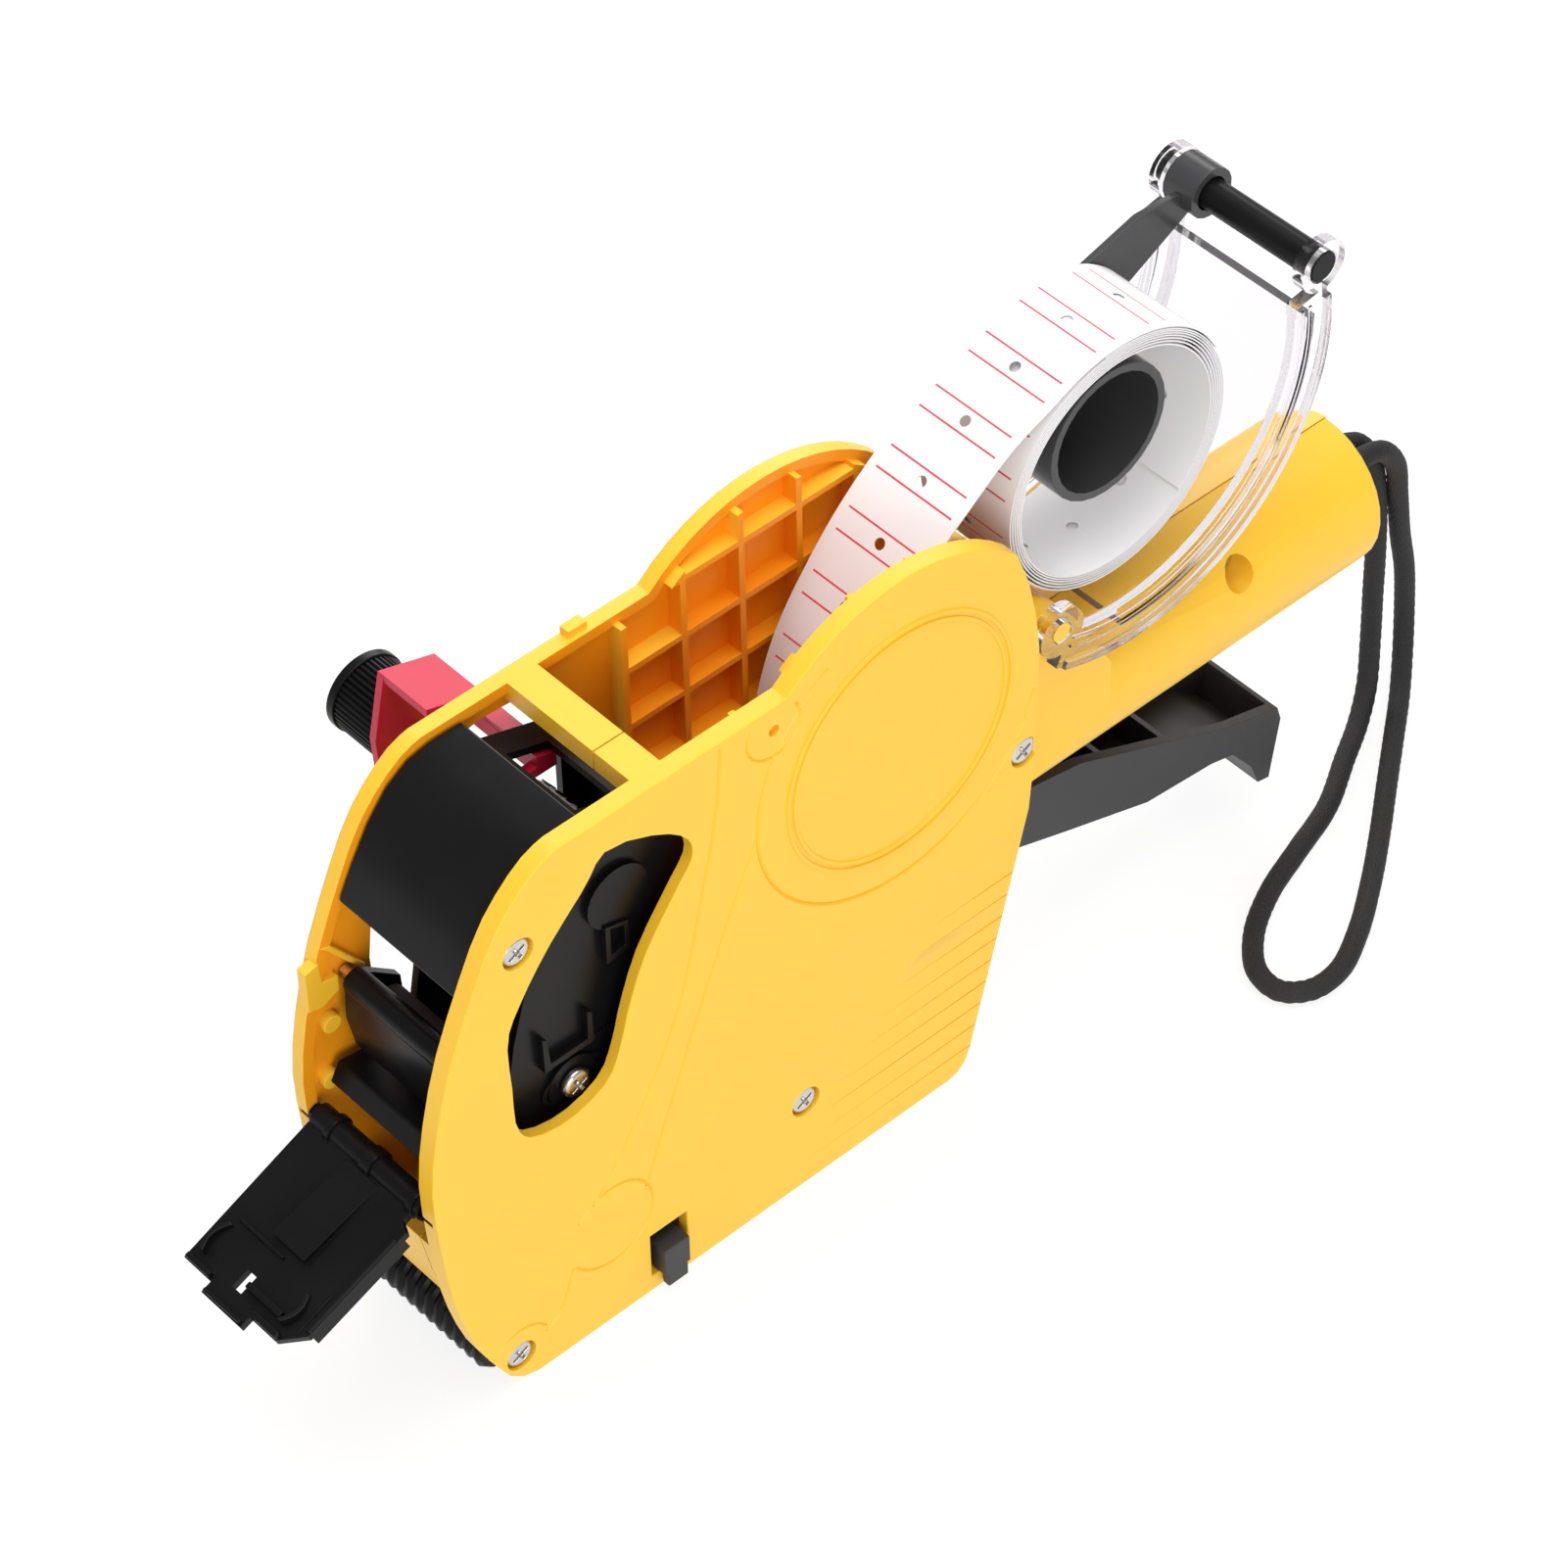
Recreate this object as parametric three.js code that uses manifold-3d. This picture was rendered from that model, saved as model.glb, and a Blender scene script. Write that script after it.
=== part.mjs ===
// Price labeling gun. Millimetres: X runs from the nose to the handle, Y across the width, Z up.
// The origin is on the flat base, on the mid-plane. The loading flap and the label cover are open.
import * as THREE from 'three';
import { mergeVertices } from 'three/addons/utils/BufferGeometryUtils.js';
import Module from 'manifold-3d';

const wasm = await Module();
wasm.setup();

// ---- driving dimensions ----
const bodyWidth = 36;
const wall = 2.2;
const rimDepth = 1.3;
const gap = 0.3;
const seamY = -6;
const topEdge = 117.5;
const baseFront = -47;
const baseRear = 46;
const hump = { x: 35, z: 91.5, r: 35.5 };
const handle = { start: 62, end: 153, z: 61.5, halfWidth: 14.6, halfHeight: 15.5 };
const pivot = { x: 54.5, z: 46.5, r: 2 };
const stripWidth = 21;
const stripThick = 0.6;
const wheelCount = 8;
const selector = { x: -21.3, z: 92.5 };
const wheelR = 7;
const shaftR = 2.4;
const knob = { r: 7.2, length: 13 };
const slideTravel = 17;
const hoodThick = 1.8;
const lever = { half: 9.5, wall: 2 };
const lapScrew = { x: -9, z: 61.5, r: 1.3, headR: 2.6, port: 1.7 };
const headScrew = { x: -32.4, z: 57.6, bossR: 5, bossRise: 0.8 };
const inkPivot = { x: -54.4, z: 77.2, r: 1.2, bossR: 2.4 };
const inkRoller = { x: -50.4, z: 70.6, r: 3.6, pinR: 1 };
const flap = { x: -63.4, z: 51, length: 31, near: 14.2, far: 13.7, thick: 1.6, droop: 22.4, pinR: 1.4, barrelR: 2.3 };
const roller = { x: -50.5, z: 6.8, r: 6, ridges: 11, ridgeDepth: 0.7 };
const axleR = 1.5;
const cover = { x: 71.4, z: 91.3, ear: 4.9, studR: 1.9, lean: 63.2 };
const coverArc = { bandIn: 36.3, bandOut: 43.5, wallIn: 40, wallOut: 41.6 };
const coverEnds = { wallLow: -92, wallHigh: 2, cheek: 10 };
const cheek = 2.4;
const bar = { r: 2.9, bossR: 5, angle: 16.2, reach: 43.4 };
const hub = { r: 13, wall: 1.6, x: 88, z: 120.5 };
const armThick = 1.3;
const springR = { coil: 4, wire: 0.7 };
const roll = { inner: 21.5, outer: 25 };
const feed = { x: 8, z: 36.4, r: 8, teeth: 12 };
const screw = { headR: 2.8, headDepth: 1.3, shaftR: 1.4 };
const cordR = 2;
const ribPitch = 12.5;
const ribThick = 1.2;
const ribDepth = 3.2;

// ---- what follows from them ----
const half = bodyWidth / 2;
const inner = half - wall;
const recess = screw.headDepth + 0.4;
const neckHalf = half - cheek - 2 * gap;
const stripHalf = stripWidth / 2;
const headIn = stripHalf + 0.4;
const headOut = headIn + 1.5;
const armIn = headOut + gap;
const armOut = inner - 1.6;
const wheelPitch = 2 * (stripHalf - 0.1) / wheelCount;
const hoodHalf = inner - rimDepth - gap;
const inkHalf = inner - 3;
const pinHalf = inner - gap;
const coverIn = neckHalf + gap;
const coverOut = coverIn + cheek;
const knobIn = half + 19;
const armEnd = slideTravel - headIn + 0.5;
const armFace = stripHalf + 0.4;
const bossR = 3.6;

// ---- finishes ----
const finish = (color, roughness, metalness = 0) =>
  new THREE.MeshStandardMaterial({ color, roughness, metalness });
const yellow = finish(0xf8b81c, 0.4);
const black = finish(0x1b1b1c, 0.45);
const darkGrey = finish(0x3a3a3d, 0.5);
const red = finish(0xc31a45, 0.4);
const paper = finish(0xf4f1f3, 0.8);
const steel = finish(0xb8b4ae, 0.3, 0.9);
const cord = finish(0x161617, 0.9);
const ink = finish(0x2a2326, 0.9);
const clear = new THREE.MeshStandardMaterial({
  color: 0xe9e6ee, roughness: 0.1, transparent: true, opacity: 0.35,
});

// ---- solids ----
function solid(geometry) {
  const bare = geometry.index ? geometry.toNonIndexed() : geometry.clone();
  bare.deleteAttribute('normal');
  bare.deleteAttribute('uv');
  const merged = mergeVertices(bare, 1e-4);
  return new wasm.Manifold(new wasm.Mesh({
    numProp: 3,
    vertProperties: new Float32Array(merged.attributes.position.array),
    triVerts: new Uint32Array(merged.index.array),
  }));
}

const union = (...pieces) => pieces.flat().reduce((sum, piece) => sum.add(piece));
const vectors = (points) => points.map(([x, z]) => new THREE.Vector2(x, z));

// a side-view outline given thickness across the width, from y0 to y1
function slab(outline, y0, y1) {
  const shape = new THREE.Shape(outline[0].isVector2 ? outline : vectors(outline));
  const geometry = new THREE.ExtrudeGeometry(shape, { depth: y1 - y0, bevelEnabled: false });
  return solid(geometry.rotateX(Math.PI / 2).translate(0, y1, 0));
}

const box = (x0, x1, y0, y1, z0, z1) => solid(
  new THREE.BoxGeometry(x1 - x0, y1 - y0, z1 - z0)
    .translate((x0 + x1) / 2, (y0 + y1) / 2, (z0 + z1) / 2));

const rod = (x, z, r, y0, y1, sides = 20) => solid(
  new THREE.CylinderGeometry(r, r, y1 - y0, sides).translate(x, (y0 + y1) / 2, z));

const tube = (x, z, rIn, rOut, y0, y1, sides = 24) =>
  rod(x, z, rOut, y0, y1, sides).subtract(rod(x, z, rIn, y0 - 1, y1 + 1, sides));

// one plate on each side of the mid-plane
const pair = (outline, y0, y1) => [slab(outline, -y1, -y0), slab(outline, y0, y1)];

// an outline drawn in by d all round; it runs anticlockwise
function inset(points, d) {
  const count = points.length;
  return points.map((point, i) => {
    const before = point.clone().sub(points[(i + count - 1) % count]).normalize();
    const after = points[(i + 1) % count].clone().sub(point).normalize();
    const nextNormal = new THREE.Vector2(-after.y, after.x);
    const mitre = new THREE.Vector2(-before.y, before.x).add(nextNormal).normalize();
    return point.clone().addScaledVector(mitre, d / Math.max(0.5, mitre.dot(nextNormal)));
  });
}

function polar(centre, r, degrees) {
  const angle = THREE.MathUtils.degToRad(degrees);
  return [centre.x + r * Math.cos(angle), centre.z + r * Math.sin(angle)];
}

function arc(centre, r, from, to, steps) {
  return Array.from({ length: steps + 1 }, (_, i) => polar(centre, r, from + (to - from) * i / steps));
}

// an open line given thickness, from a to b on its left
function thicken(line, a, b) {
  const points = line[0].isVector2 ? line : vectors(line);
  const side = (d) => points.map((point, i) => {
    const next = points[Math.min(i + 1, points.length - 1)];
    const along = next.clone().sub(points[Math.max(i - 1, 0)]).normalize();
    return new THREE.Vector2(point.x - along.y * d, point.y + along.x * d);
  });
  return [...side(a), ...side(b).reverse()];
}

const band = (centre, rIn, rOut, from, to, steps) =>
  [...arc(centre, rOut, from, to, steps), ...arc(centre, rIn, to, from, steps)];

const group = new THREE.Group();
group.name = 'price_labeling_gun';

function add(name, manifold, material) {
  const { vertProperties, triVerts } = manifold.getMesh();
  const geometry = new THREE.BufferGeometry();
  geometry.setAttribute('position', new THREE.BufferAttribute(new Float32Array(vertProperties), 3));
  geometry.setIndex(new THREE.BufferAttribute(new Uint32Array(triVerts), 1));
  geometry.computeVertexNormals();
  const mesh = new THREE.Mesh(geometry, material);
  mesh.name = name;
  group.add(mesh);
}

// ---- casing outline ----
const nose = [
  [-40, topEdge - 1.2], [-45, topEdge - 5], [-50, 106.5], [-55, 96.5], [-60, 84.5], [-63.4, 72],
  [-65.2, 60], [-64.8, 48], [-63.4, 34], [-61.5, 24], [-58.6, 14.5], [-55, 7],
];

const rearEdge = [[64.4, 55.5], [65.7, 70], [66.1, 84], [66, 92], [65.1, 100], [63.4, 108]];

function bodyOutline() {
  const kink = 180 - THREE.MathUtils.radToDeg(Math.asin((topEdge - hump.z) / hump.r));
  const bend = (from, through, to) =>
    new THREE.QuadraticBezierCurve(...vectors([from, through, to])).getPoints(3).map(({ x, y }) => [x, y]);
  const noseCurve = new THREE.SplineCurve(vectors([[-36, topEdge], ...nose])).getPoints(22);
  const points = [
    ...bend([baseRear, 0], [baseRear + 4, 0], [baseRear + 5.2, 5]),
    ...rearEdge,
    ...arc(hump, hump.r, 44, kink, 14),
    ...noseCurve.map(({ x, y }) => [x, y]),
    ...bend(nose.at(-1), [-52.5, 0.6], [baseFront, 0]).slice(1),
  ];
  return vectors(points);
}

const body = bodyOutline();

// ---- casing shells ----
const longScrews = [[63, 69.5], [13, 20.5], [119.3, 69.5]];
const frontScrew = [-45, 100.5];

// a closed side-view line rounded through its points
function rounded(points, steps) {
  const line = new THREE.CatmullRomCurve3(points.map(([x, z]) => new THREE.Vector3(x, z, 0)), true);
  return line.getPoints(steps).slice(1).map(({ x, y }) => [x, y]);
}

const nearWindow = rounded([
  [-27, 110], [-15, 105.5], [-10, 100.5], [-9.5, 96.5], [-13, 91.5], [-20, 81.5], [-24, 71.5],
  [-26, 64.5], [-29, 58.5], [-37, 55.5], [-45, 57.5], [-47.5, 61.5], [-48, 71.5], [-48, 83.5],
  [-45, 89.5], [-39, 97.5], [-31, 105.5],
], 44);
const farWindow = rounded([
  [-31, 110.5], [-12, 110.5], [-5.5, 106], [-4, 96], [-5, 86], [-11, 72], [-16, 60], [-25, 54.5],
  [-44, 57], [-48, 64], [-48, 84], [-40, 100],
], 30);
const catchSlot = { x0: -22, x1: -14, z0: 3.6, z1: 14 };

// the handle and its neck, drawn in by d; the neck carries the cover's pivots
function gripSolid(d) {
  const oval = new THREE.Shape();
  oval.absellipse(0, 0, handle.halfHeight - d, handle.halfWidth - d, 0, 2 * Math.PI, false);
  const length = handle.end - handle.start - 2 * d;
  const extrusion = { depth: length, bevelEnabled: false, curveSegments: 14 };
  const barrel = solid(new THREE.ExtrudeGeometry(oval, extrusion)
    .rotateY(Math.PI / 2).translate(handle.start + d, 0, handle.z));
  const top = handle.z + handle.halfHeight;
  const neck = vectors([
    [handle.start, handle.z - 6], [86, handle.z], [86, top - 4], [cover.x + 9, top + 5],
    [cover.x + 4, cover.z], [cover.x + 1, cover.z + 2.2], [cover.x - 3, cover.z + 2.6],
    [handle.start, cover.z - 1],
  ]);
  return barrel.add(slab(inset(neck, d), -neckHalf + d, neckHalf - d));
}

const leverSlot = { half: lever.half + 0.8, z0: 26, z1: 56, x1: 122 };
const frontWall = { z0: 8.5, z1: 35, setback: 3.4 };

// the walls that cross from side to side: base, rear, crossbar, front crosspiece and screw bosses
function crossWalls() {
  const ring = slab(body, -inner - 1, inner + 1).subtract(slab(inset(body, wall), -half, half));
  const lowAndRear = slab([
    [roller.x + roller.r + 2, -5], [90, -5], [90, cover.z + 2], [62, cover.z + 2], [54, 60], [40, 9],
    [roller.x + roller.r + 2, 9],
  ], -half, half);
  const frontLine = nose.filter(([, z]) => z > frontWall.z0 && z < frontWall.z1);
  const front = slab(thicken(frontLine, frontWall.setback, frontWall.setback + wall), -inner - 1, inner + 1);
  const crossbar = box(-18.6, -12.4, -inner - 1, inner + 1, topEdge - 4, topEdge);
  const bosses = longScrews.map(([x, z]) => rod(x, z, bossR, -inner - 1, inner + 1, 16));
  return union(ring.intersect(lowAndRear), front, crossbar, bosses.slice(0, 2));
}

function ribs(side) {
  const y0 = side < 0 ? -inner - 0.5 : inner - ribDepth;
  const y1 = side < 0 ? -inner + ribDepth : inner + 0.5;
  const bars = [];
  for (let x = hump.x - 2.5 * ribPitch; x < hump.x + hump.r; x += ribPitch) {
    bars.push(box(x - ribThick / 2, x + ribThick / 2, y0, y1, 67.8, hump.z + hump.r));
  }
  for (let z = 68.4; z < hump.z + hump.r; z += ribPitch) {
    bars.push(box(hump.x - 2.5 * ribPitch, hump.x + hump.r, y0, y1, z - ribThick / 2, z + ribThick / 2));
  }
  return union(bars).intersect(slab(inset(body, wall - 0.4), -half, half));
}

function shell(side) {
  const near = side < 0;
  const faceOut = side * half;
  const span = (a, b) => (near ? [-b, -a] : [a, b]);
  const [plate0, plate1] = span(inner, half);
  const [rim0, rim1] = span(inner - rimDepth, inner + 0.5);
  const rim = slab(body, rim0, rim1).subtract(slab(inset(body, wall), rim0 - 1, rim1 + 1));
  const sideOf = (seam, x0, x1) => (near ? box(x0, x1, -half, seam - gap / 2, -9, 160)
    : box(x0, x1, seam + gap / 2, half, -9, 160));
  const bodySide = sideOf(seamY, -90, baseRear).add(sideOf(0, baseRear, 90));
  const gripOpening = box(handle.start - 5, handle.start + 9, -9, 9, handle.z - 9, handle.z + 10);
  const leverOpening = box(45, leverSlot.x1, -leverSlot.half, leverSlot.half, leverSlot.z0, leverSlot.z1);
  const handleBoss = rod(...longScrews[2], bossR, -neckHalf + 1.5, neckHalf - 1.5, 16);
  const grip = gripSolid(0).subtract(gripSolid(wall)).add(handleBoss.intersect(gripSolid(0)))
    .subtract(slab(inset(body, 1), -inner, inner));
  let piece = union(slab(body, plate0, plate1), rim, crossWalls().intersect(bodySide), ribs(side));
  piece = piece.subtract(gripOpening).add(grip.intersect(sideOf(0, baseRear, 160))).subtract(leverOpening);
  const [stud0, stud1] = span(neckHalf - 1, half - 0.4);
  piece = piece.add(rod(cover.x, cover.z, cover.studR, stud0, stud1, 16));
  // room for the full roll between the neck's cheeks when the cover is closed
  piece = piece.subtract(box(57, cover.x - 1, -stripHalf - gap, stripHalf + gap, 82.5, cover.z + 9));
  piece = piece.subtract(slab(near ? nearWindow : farWindow, plate0 - 1, plate1 + 1));
  piece = piece.subtract(rod(roller.x, roller.z, roller.r + 0.9, -inner, inner, 24));
  piece = piece.subtract(rod(roller.x, roller.z, axleR + gap, -inner - 1, half - 1, 16));
  piece = piece.subtract(rod(pivot.x, pivot.z, pivot.r + gap, -inner - 1, inner + 1, 20));
  piece = piece.subtract(rod(feed.x, feed.z, axleR + gap, -inner - 1, inner + 1, 16));
  piece = piece.subtract(rod(flap.x, flap.z, flap.pinR + gap, -inner - 1, inner + 1, 16));
  for (const [x, z] of longScrews) {
    piece = piece.subtract(rod(x, z, screw.shaftR + gap, -half - 1, half - 4, 12));
  }
  if (near) {
    const seats = [frontScrew, longScrews[0], longScrews[1], [roller.x, roller.z]];
    for (const [x, z] of seats) {
      piece = piece.subtract(rod(x, z, screw.headR + gap, faceOut - 1, faceOut + recess, 16));
      piece = piece.subtract(rod(x, z, screw.shaftR + gap, faceOut - 1, faceOut + 5, 12));
    }
    piece = piece.subtract(rod(...longScrews[2], screw.headR + gap, -half, -handle.halfWidth + 8.4, 16));
    const { x0, x1, z0, z1 } = catchSlot;
    piece = piece.subtract(box(x0, x1, -half - 1, -inner + 3, z0, z1));
  }
  return piece;
}

add('near_shell', shell(-1), yellow);
add('far_shell', shell(1), yellow);

// ---- casing screws ----
function screwSolid(x, z, headFace, length) {
  const head = rod(x, z, screw.headR, headFace, headFace + screw.headDepth, 16);
  return head.add(rod(x, z, screw.shaftR, headFace + screw.headDepth / 2, headFace + length, 12));
}

const headFace = -half + gap;
add('case_screw_front', screwSolid(...frontScrew, headFace, 3), steel);
add('case_screw_rear', screwSolid(...longScrews[0], headFace, bodyWidth - 9), steel);
add('case_screw_base', screwSolid(...longScrews[1], headFace, bodyWidth - 9), steel);
add('case_screw_handle', screwSolid(...longScrews[2], -handle.halfWidth + 6.8, 18), steel);
add('case_screw_nose', screwSolid(roller.x, roller.z, headFace, wall + 1), steel);

// ---- trigger lever: an open-topped channel behind the pivot, two arms in front of it ----
const leverSide = [
  [pivot.x - 4, pivot.z - 5], [70, 34.8], [82, 30.5], [102, 23.6], [118, 22], [123.5, 20.5],
  [128.5, 14], [130.6, 8.6], [133.4, 8], [135.6, 21.5], [134.6, 24.8], [122, 28.5], [102, 37.5],
  [85, 45.2], [pivot.x + 5, 50.4], [pivot.x - 3, 51.5],
];
const leverTrough = [
  [pivot.x + 8, 41.6], [82, 32.8], [102, 25.8], [118, 24.2], [125, 23], [131.4, 18], [133, 24],
  [140, 40], [140, 60], [pivot.x + 8, 60],
];

const lapPort = box(lapScrew.x - lapScrew.port, lapScrew.x + lapScrew.port, -half, half,
  lapScrew.z - lapScrew.port, lapScrew.z + lapScrew.port);

function triggerLever() {
  const channel = slab(leverSide, -lever.half, lever.half)
    .subtract(slab(leverTrough, -lever.half + lever.wall, lever.half - lever.wall));
  const webs = [76, 92, 108].map((x) => box(x, x + 1.5, -lever.half + 1, lever.half - 1, 22, 60)
    .intersect(slab(inset(vectors(leverSide), 1.6), -lever.half, lever.half)));
  const arm = [
    [pivot.x + 3.6, 43.6], [pivot.x + 3.6, 50.4], [pivot.x - 6, 53], [4, 65.5], [-12, 67], [-14, 63],
    [-13, 57], [6, 54], [pivot.x - 12, 43.5], [pivot.x - 3, 41],
  ];
  const crossTube = rod(pivot.x, pivot.z, 3.6, -armOut, armOut, 24);
  const springSeat = box(pivot.x - 22, pivot.x - 10, -armOut, armOut, 45.5, 47.5);
  return union(channel, webs, pair(arm, armIn, armOut), crossTube, springSeat)
    .subtract(rod(pivot.x, pivot.z, pivot.r + gap, -half, half, 20))
    .subtract(lapPort);
}

add('trigger_lever', triggerLever(), darkGrey);
add('lever_pivot_pin', rod(pivot.x, pivot.z, pivot.r, -pinHalf, pinHalf, 20), steel);

// ---- return spring, standing on the base under the lever's cross seat ----
function coil(x, y, z0, z1, r, wire, turns, steps) {
  const points = Array.from({ length: turns * steps + 1 }, (_, i) => {
    const angle = 2 * Math.PI * i / steps;
    const rise = (z1 - z0) * i / (turns * steps);
    return new THREE.Vector3(x + r * Math.cos(angle), y + r * Math.sin(angle), z0 + rise);
  });
  const section = new THREE.Shape(Array.from({ length: 6 }, (_, i) =>
    new THREE.Vector2(wire * Math.cos(i * Math.PI / 3), wire * Math.sin(i * Math.PI / 3))));
  const path = new THREE.CatmullRomCurve3(points);
  const sweep = { steps: turns * steps, extrudePath: path, bevelEnabled: false };
  return solid(new THREE.ExtrudeGeometry(section, sweep));
}

const springX = pivot.x - 16;
add('return_spring', coil(springX, 0, wall + 1.2, 44.3, springR.coil, springR.wire, 6, 8), steel);

// ---- print head: side frames, floor, rear wall and slotted top ----
const headSide = [
  [-30, 113.4], [-7, 105.6], [-5.6, 84], [-5.6, 58], [-12, 55], [-24, 47], [-43.5, 47], [-45.4, 60],
  [-43, 73], [-38.6, 88], [-34.6, 95], [-34.6, 104], [-39.5, 107.2], [-38, 112.6],
];

function printHead() {
  const top = slab([[-30, 113.4], [-7, 105.6], [-7, 104], [-30, 111.8]], -headOut, headOut)
    .subtract(box(-25.4, -17, -9.3, 7.2, 100, 120));
  const rear = box(-7.2, -5.6, -headOut, headOut, 58, 104);
  const block = slab([[-24, 47], [-43.5, 47], [-44.6, 55], [-24, 55]], -headOut, headOut);
  const disc = rod(selector.x, selector.z, 6.2, -headOut - 1, -headOut + 0.5, 24);
  const boss = rod(headScrew.x, headScrew.z, headScrew.bossR, -headOut - headScrew.bossRise, -headIn, 20);
  const [port0, port1] = [selector.x - 8.7, selector.x + 9.5];
  const bracketPort = slab([[port0, 83], [port1, 83], [port1, 105], [port0, 111.2]], headIn - 1, headOut + 1);
  return union(pair(headSide, headIn, headOut), top, rear, block, disc, boss)
    .subtract(bracketPort).subtract(lapPort)
    .subtract(rod(headScrew.x, headScrew.z, screw.shaftR + gap, -half, -headIn + 4, 12));
}

add('print_head_frame', printHead(), black);
const headScrewFace = -headOut - headScrew.bossRise - gap - screw.headDepth;
add('print_head_screw', screwSolid(headScrew.x, headScrew.z, headScrewFace, 5), steel);
for (const side of [-1, 1]) {
  const stud = rod(lapScrew.x, lapScrew.z, lapScrew.r, headIn - 0.6, armOut + 0.6, 12)
    .add(rod(lapScrew.x, lapScrew.z, lapScrew.headR, armOut + gap, armOut + 1.2, 16));
  add(side < 0 ? 'lap_screw_near' : 'lap_screw_far',
    side < 0 ? stud.mirror([0, 1, 0]) : stud, steel);
}

// ---- hood over the front of the head ----
const hoodLine = [
  [-28.4, 116.2], [-35, 116.2], [-39.6, 115.2], [-44, 112.3], [-48.2, 107.2], [-52, 100.6], [-55, 94.6],
];
add('head_hood', slab(thicken(hoodLine, 0, hoodThick), -hoodHalf, hoodHalf), black);

// ---- number setting: wheels, shaft, knob and sliding bracket ----
for (let i = 0; i < wheelCount; i += 1) {
  const y0 = -wheelPitch * wheelCount / 2 + i * wheelPitch + gap / 2;
  add(`digit_wheel_${i + 1}`,
    tube(selector.x, selector.z, shaftR + gap, wheelR, y0, y0 + wheelPitch - gap, 18), paper);
}

add('selector_shaft', rod(selector.x, selector.z, shaftR, armEnd + 0.4, knobIn + 4, 16), steel);

function knobSolid() {
  const flutes = 18;
  const points = Array.from({ length: 2 * flutes }, (_, i) =>
    polar(selector, i % 2 ? knob.r - 0.55 : knob.r, 180 * i / flutes));
  const end = knobIn + knob.length;
  const grip = slab(points, knobIn, end - 1.8);
  const rim = rod(selector.x, selector.z, knob.r + 0.3, end - 1.8, end, 24);
  const bore = rod(selector.x, selector.z, shaftR + gap, knobIn - 1, knobIn + 5, 16);
  const dish = rod(selector.x, selector.z, knob.r - 1.8, end - 0.8, end + 1, 20);
  return grip.add(rim).subtract(bore).subtract(dish);
}
add('selector_knob', knobSolid(), black);

function bracket() {
  const plateY = knobIn - gap - 1.6;
  const [x0, x1] = [selector.x - 6, selector.x + 5.4];
  const face = [
    [x0 - 2.2, 84], [x1 + 2.6, 84], [x1 + 2, 97], [x1, 106.4], [x0, 110.1], [x0 - 2.8, 97],
  ];
  const plate = slab(face, plateY, plateY + 1.6);
  const slope = [[x0, 110.1], [x0, 108.3], [x1, 104.6], [x1, 106.4]];
  const bridge = slab(slope, slideTravel + 7.5, plateY + 1);
  const arm = slab([[x1 - 4, 107.7], [x1 - 4, 103.4], [x1, 103.4], [x1, 106.4]],
    armEnd, slideTravel + 8.5);
  const pointer = box(x0, x1 - 3, armEnd, armEnd + 2, 103.4, 105.4);
  return union(plate, bridge, arm, pointer)
    .subtract(rod(selector.x, selector.z, shaftR + gap, plateY - 1, plateY + 3, 20));
}
add('selector_bracket', bracket(), red);

// ---- inking ----
function inkHolder() {
  const arm = [
    [-56.4, 78.4], [-54, 79.6], [-51.6, 78], [-46.6, 73.6], [-46.4, 70], [-51, 62.4],
    [-55.4, 62.4], [-56.8, 70],
  ];
  const ears = pair(arm, inkHalf - 1.6, inkHalf);
  const face = slab([[-56.4, 78.4], [-54.8, 79], [-55.2, 70], [-53.9, 62.4], [-55.4, 62.4], [-56.8, 70]],
    -inkHalf, inkHalf);
  return union(ears, face, rod(inkPivot.x, inkPivot.z, inkPivot.bossR, -inkHalf, inkHalf, 16))
    .subtract(rod(inkPivot.x, inkPivot.z, inkPivot.r + gap, -half, half, 14))
    .subtract(rod(inkRoller.x, inkRoller.z, inkRoller.pinR + gap, -half, half, 14));
}
add('ink_holder', inkHolder(), black);
add('ink_holder_pin', rod(inkPivot.x, inkPivot.z, inkPivot.r, -pinHalf, pinHalf, 14), steel);
const { x: inkX, z: inkZ, pinR: inkPinR } = inkRoller;
add('ink_roller', tube(inkX, inkZ, inkPinR + gap, inkRoller.r, -stripHalf, stripHalf, 18), ink);
add('ink_roller_axle', rod(inkX, inkZ, inkPinR, -inkHalf + 0.1, inkHalf - 0.1, 12), steel);
add('nose_guard', slab([[-60.5, 56.4], [-58.5, 60], [-49.6, 58.6], [-49.6, 54.6], [-57, 53.4]],
  -inner + rimDepth + 0.5, inner - rimDepth - 0.5), black);

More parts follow.
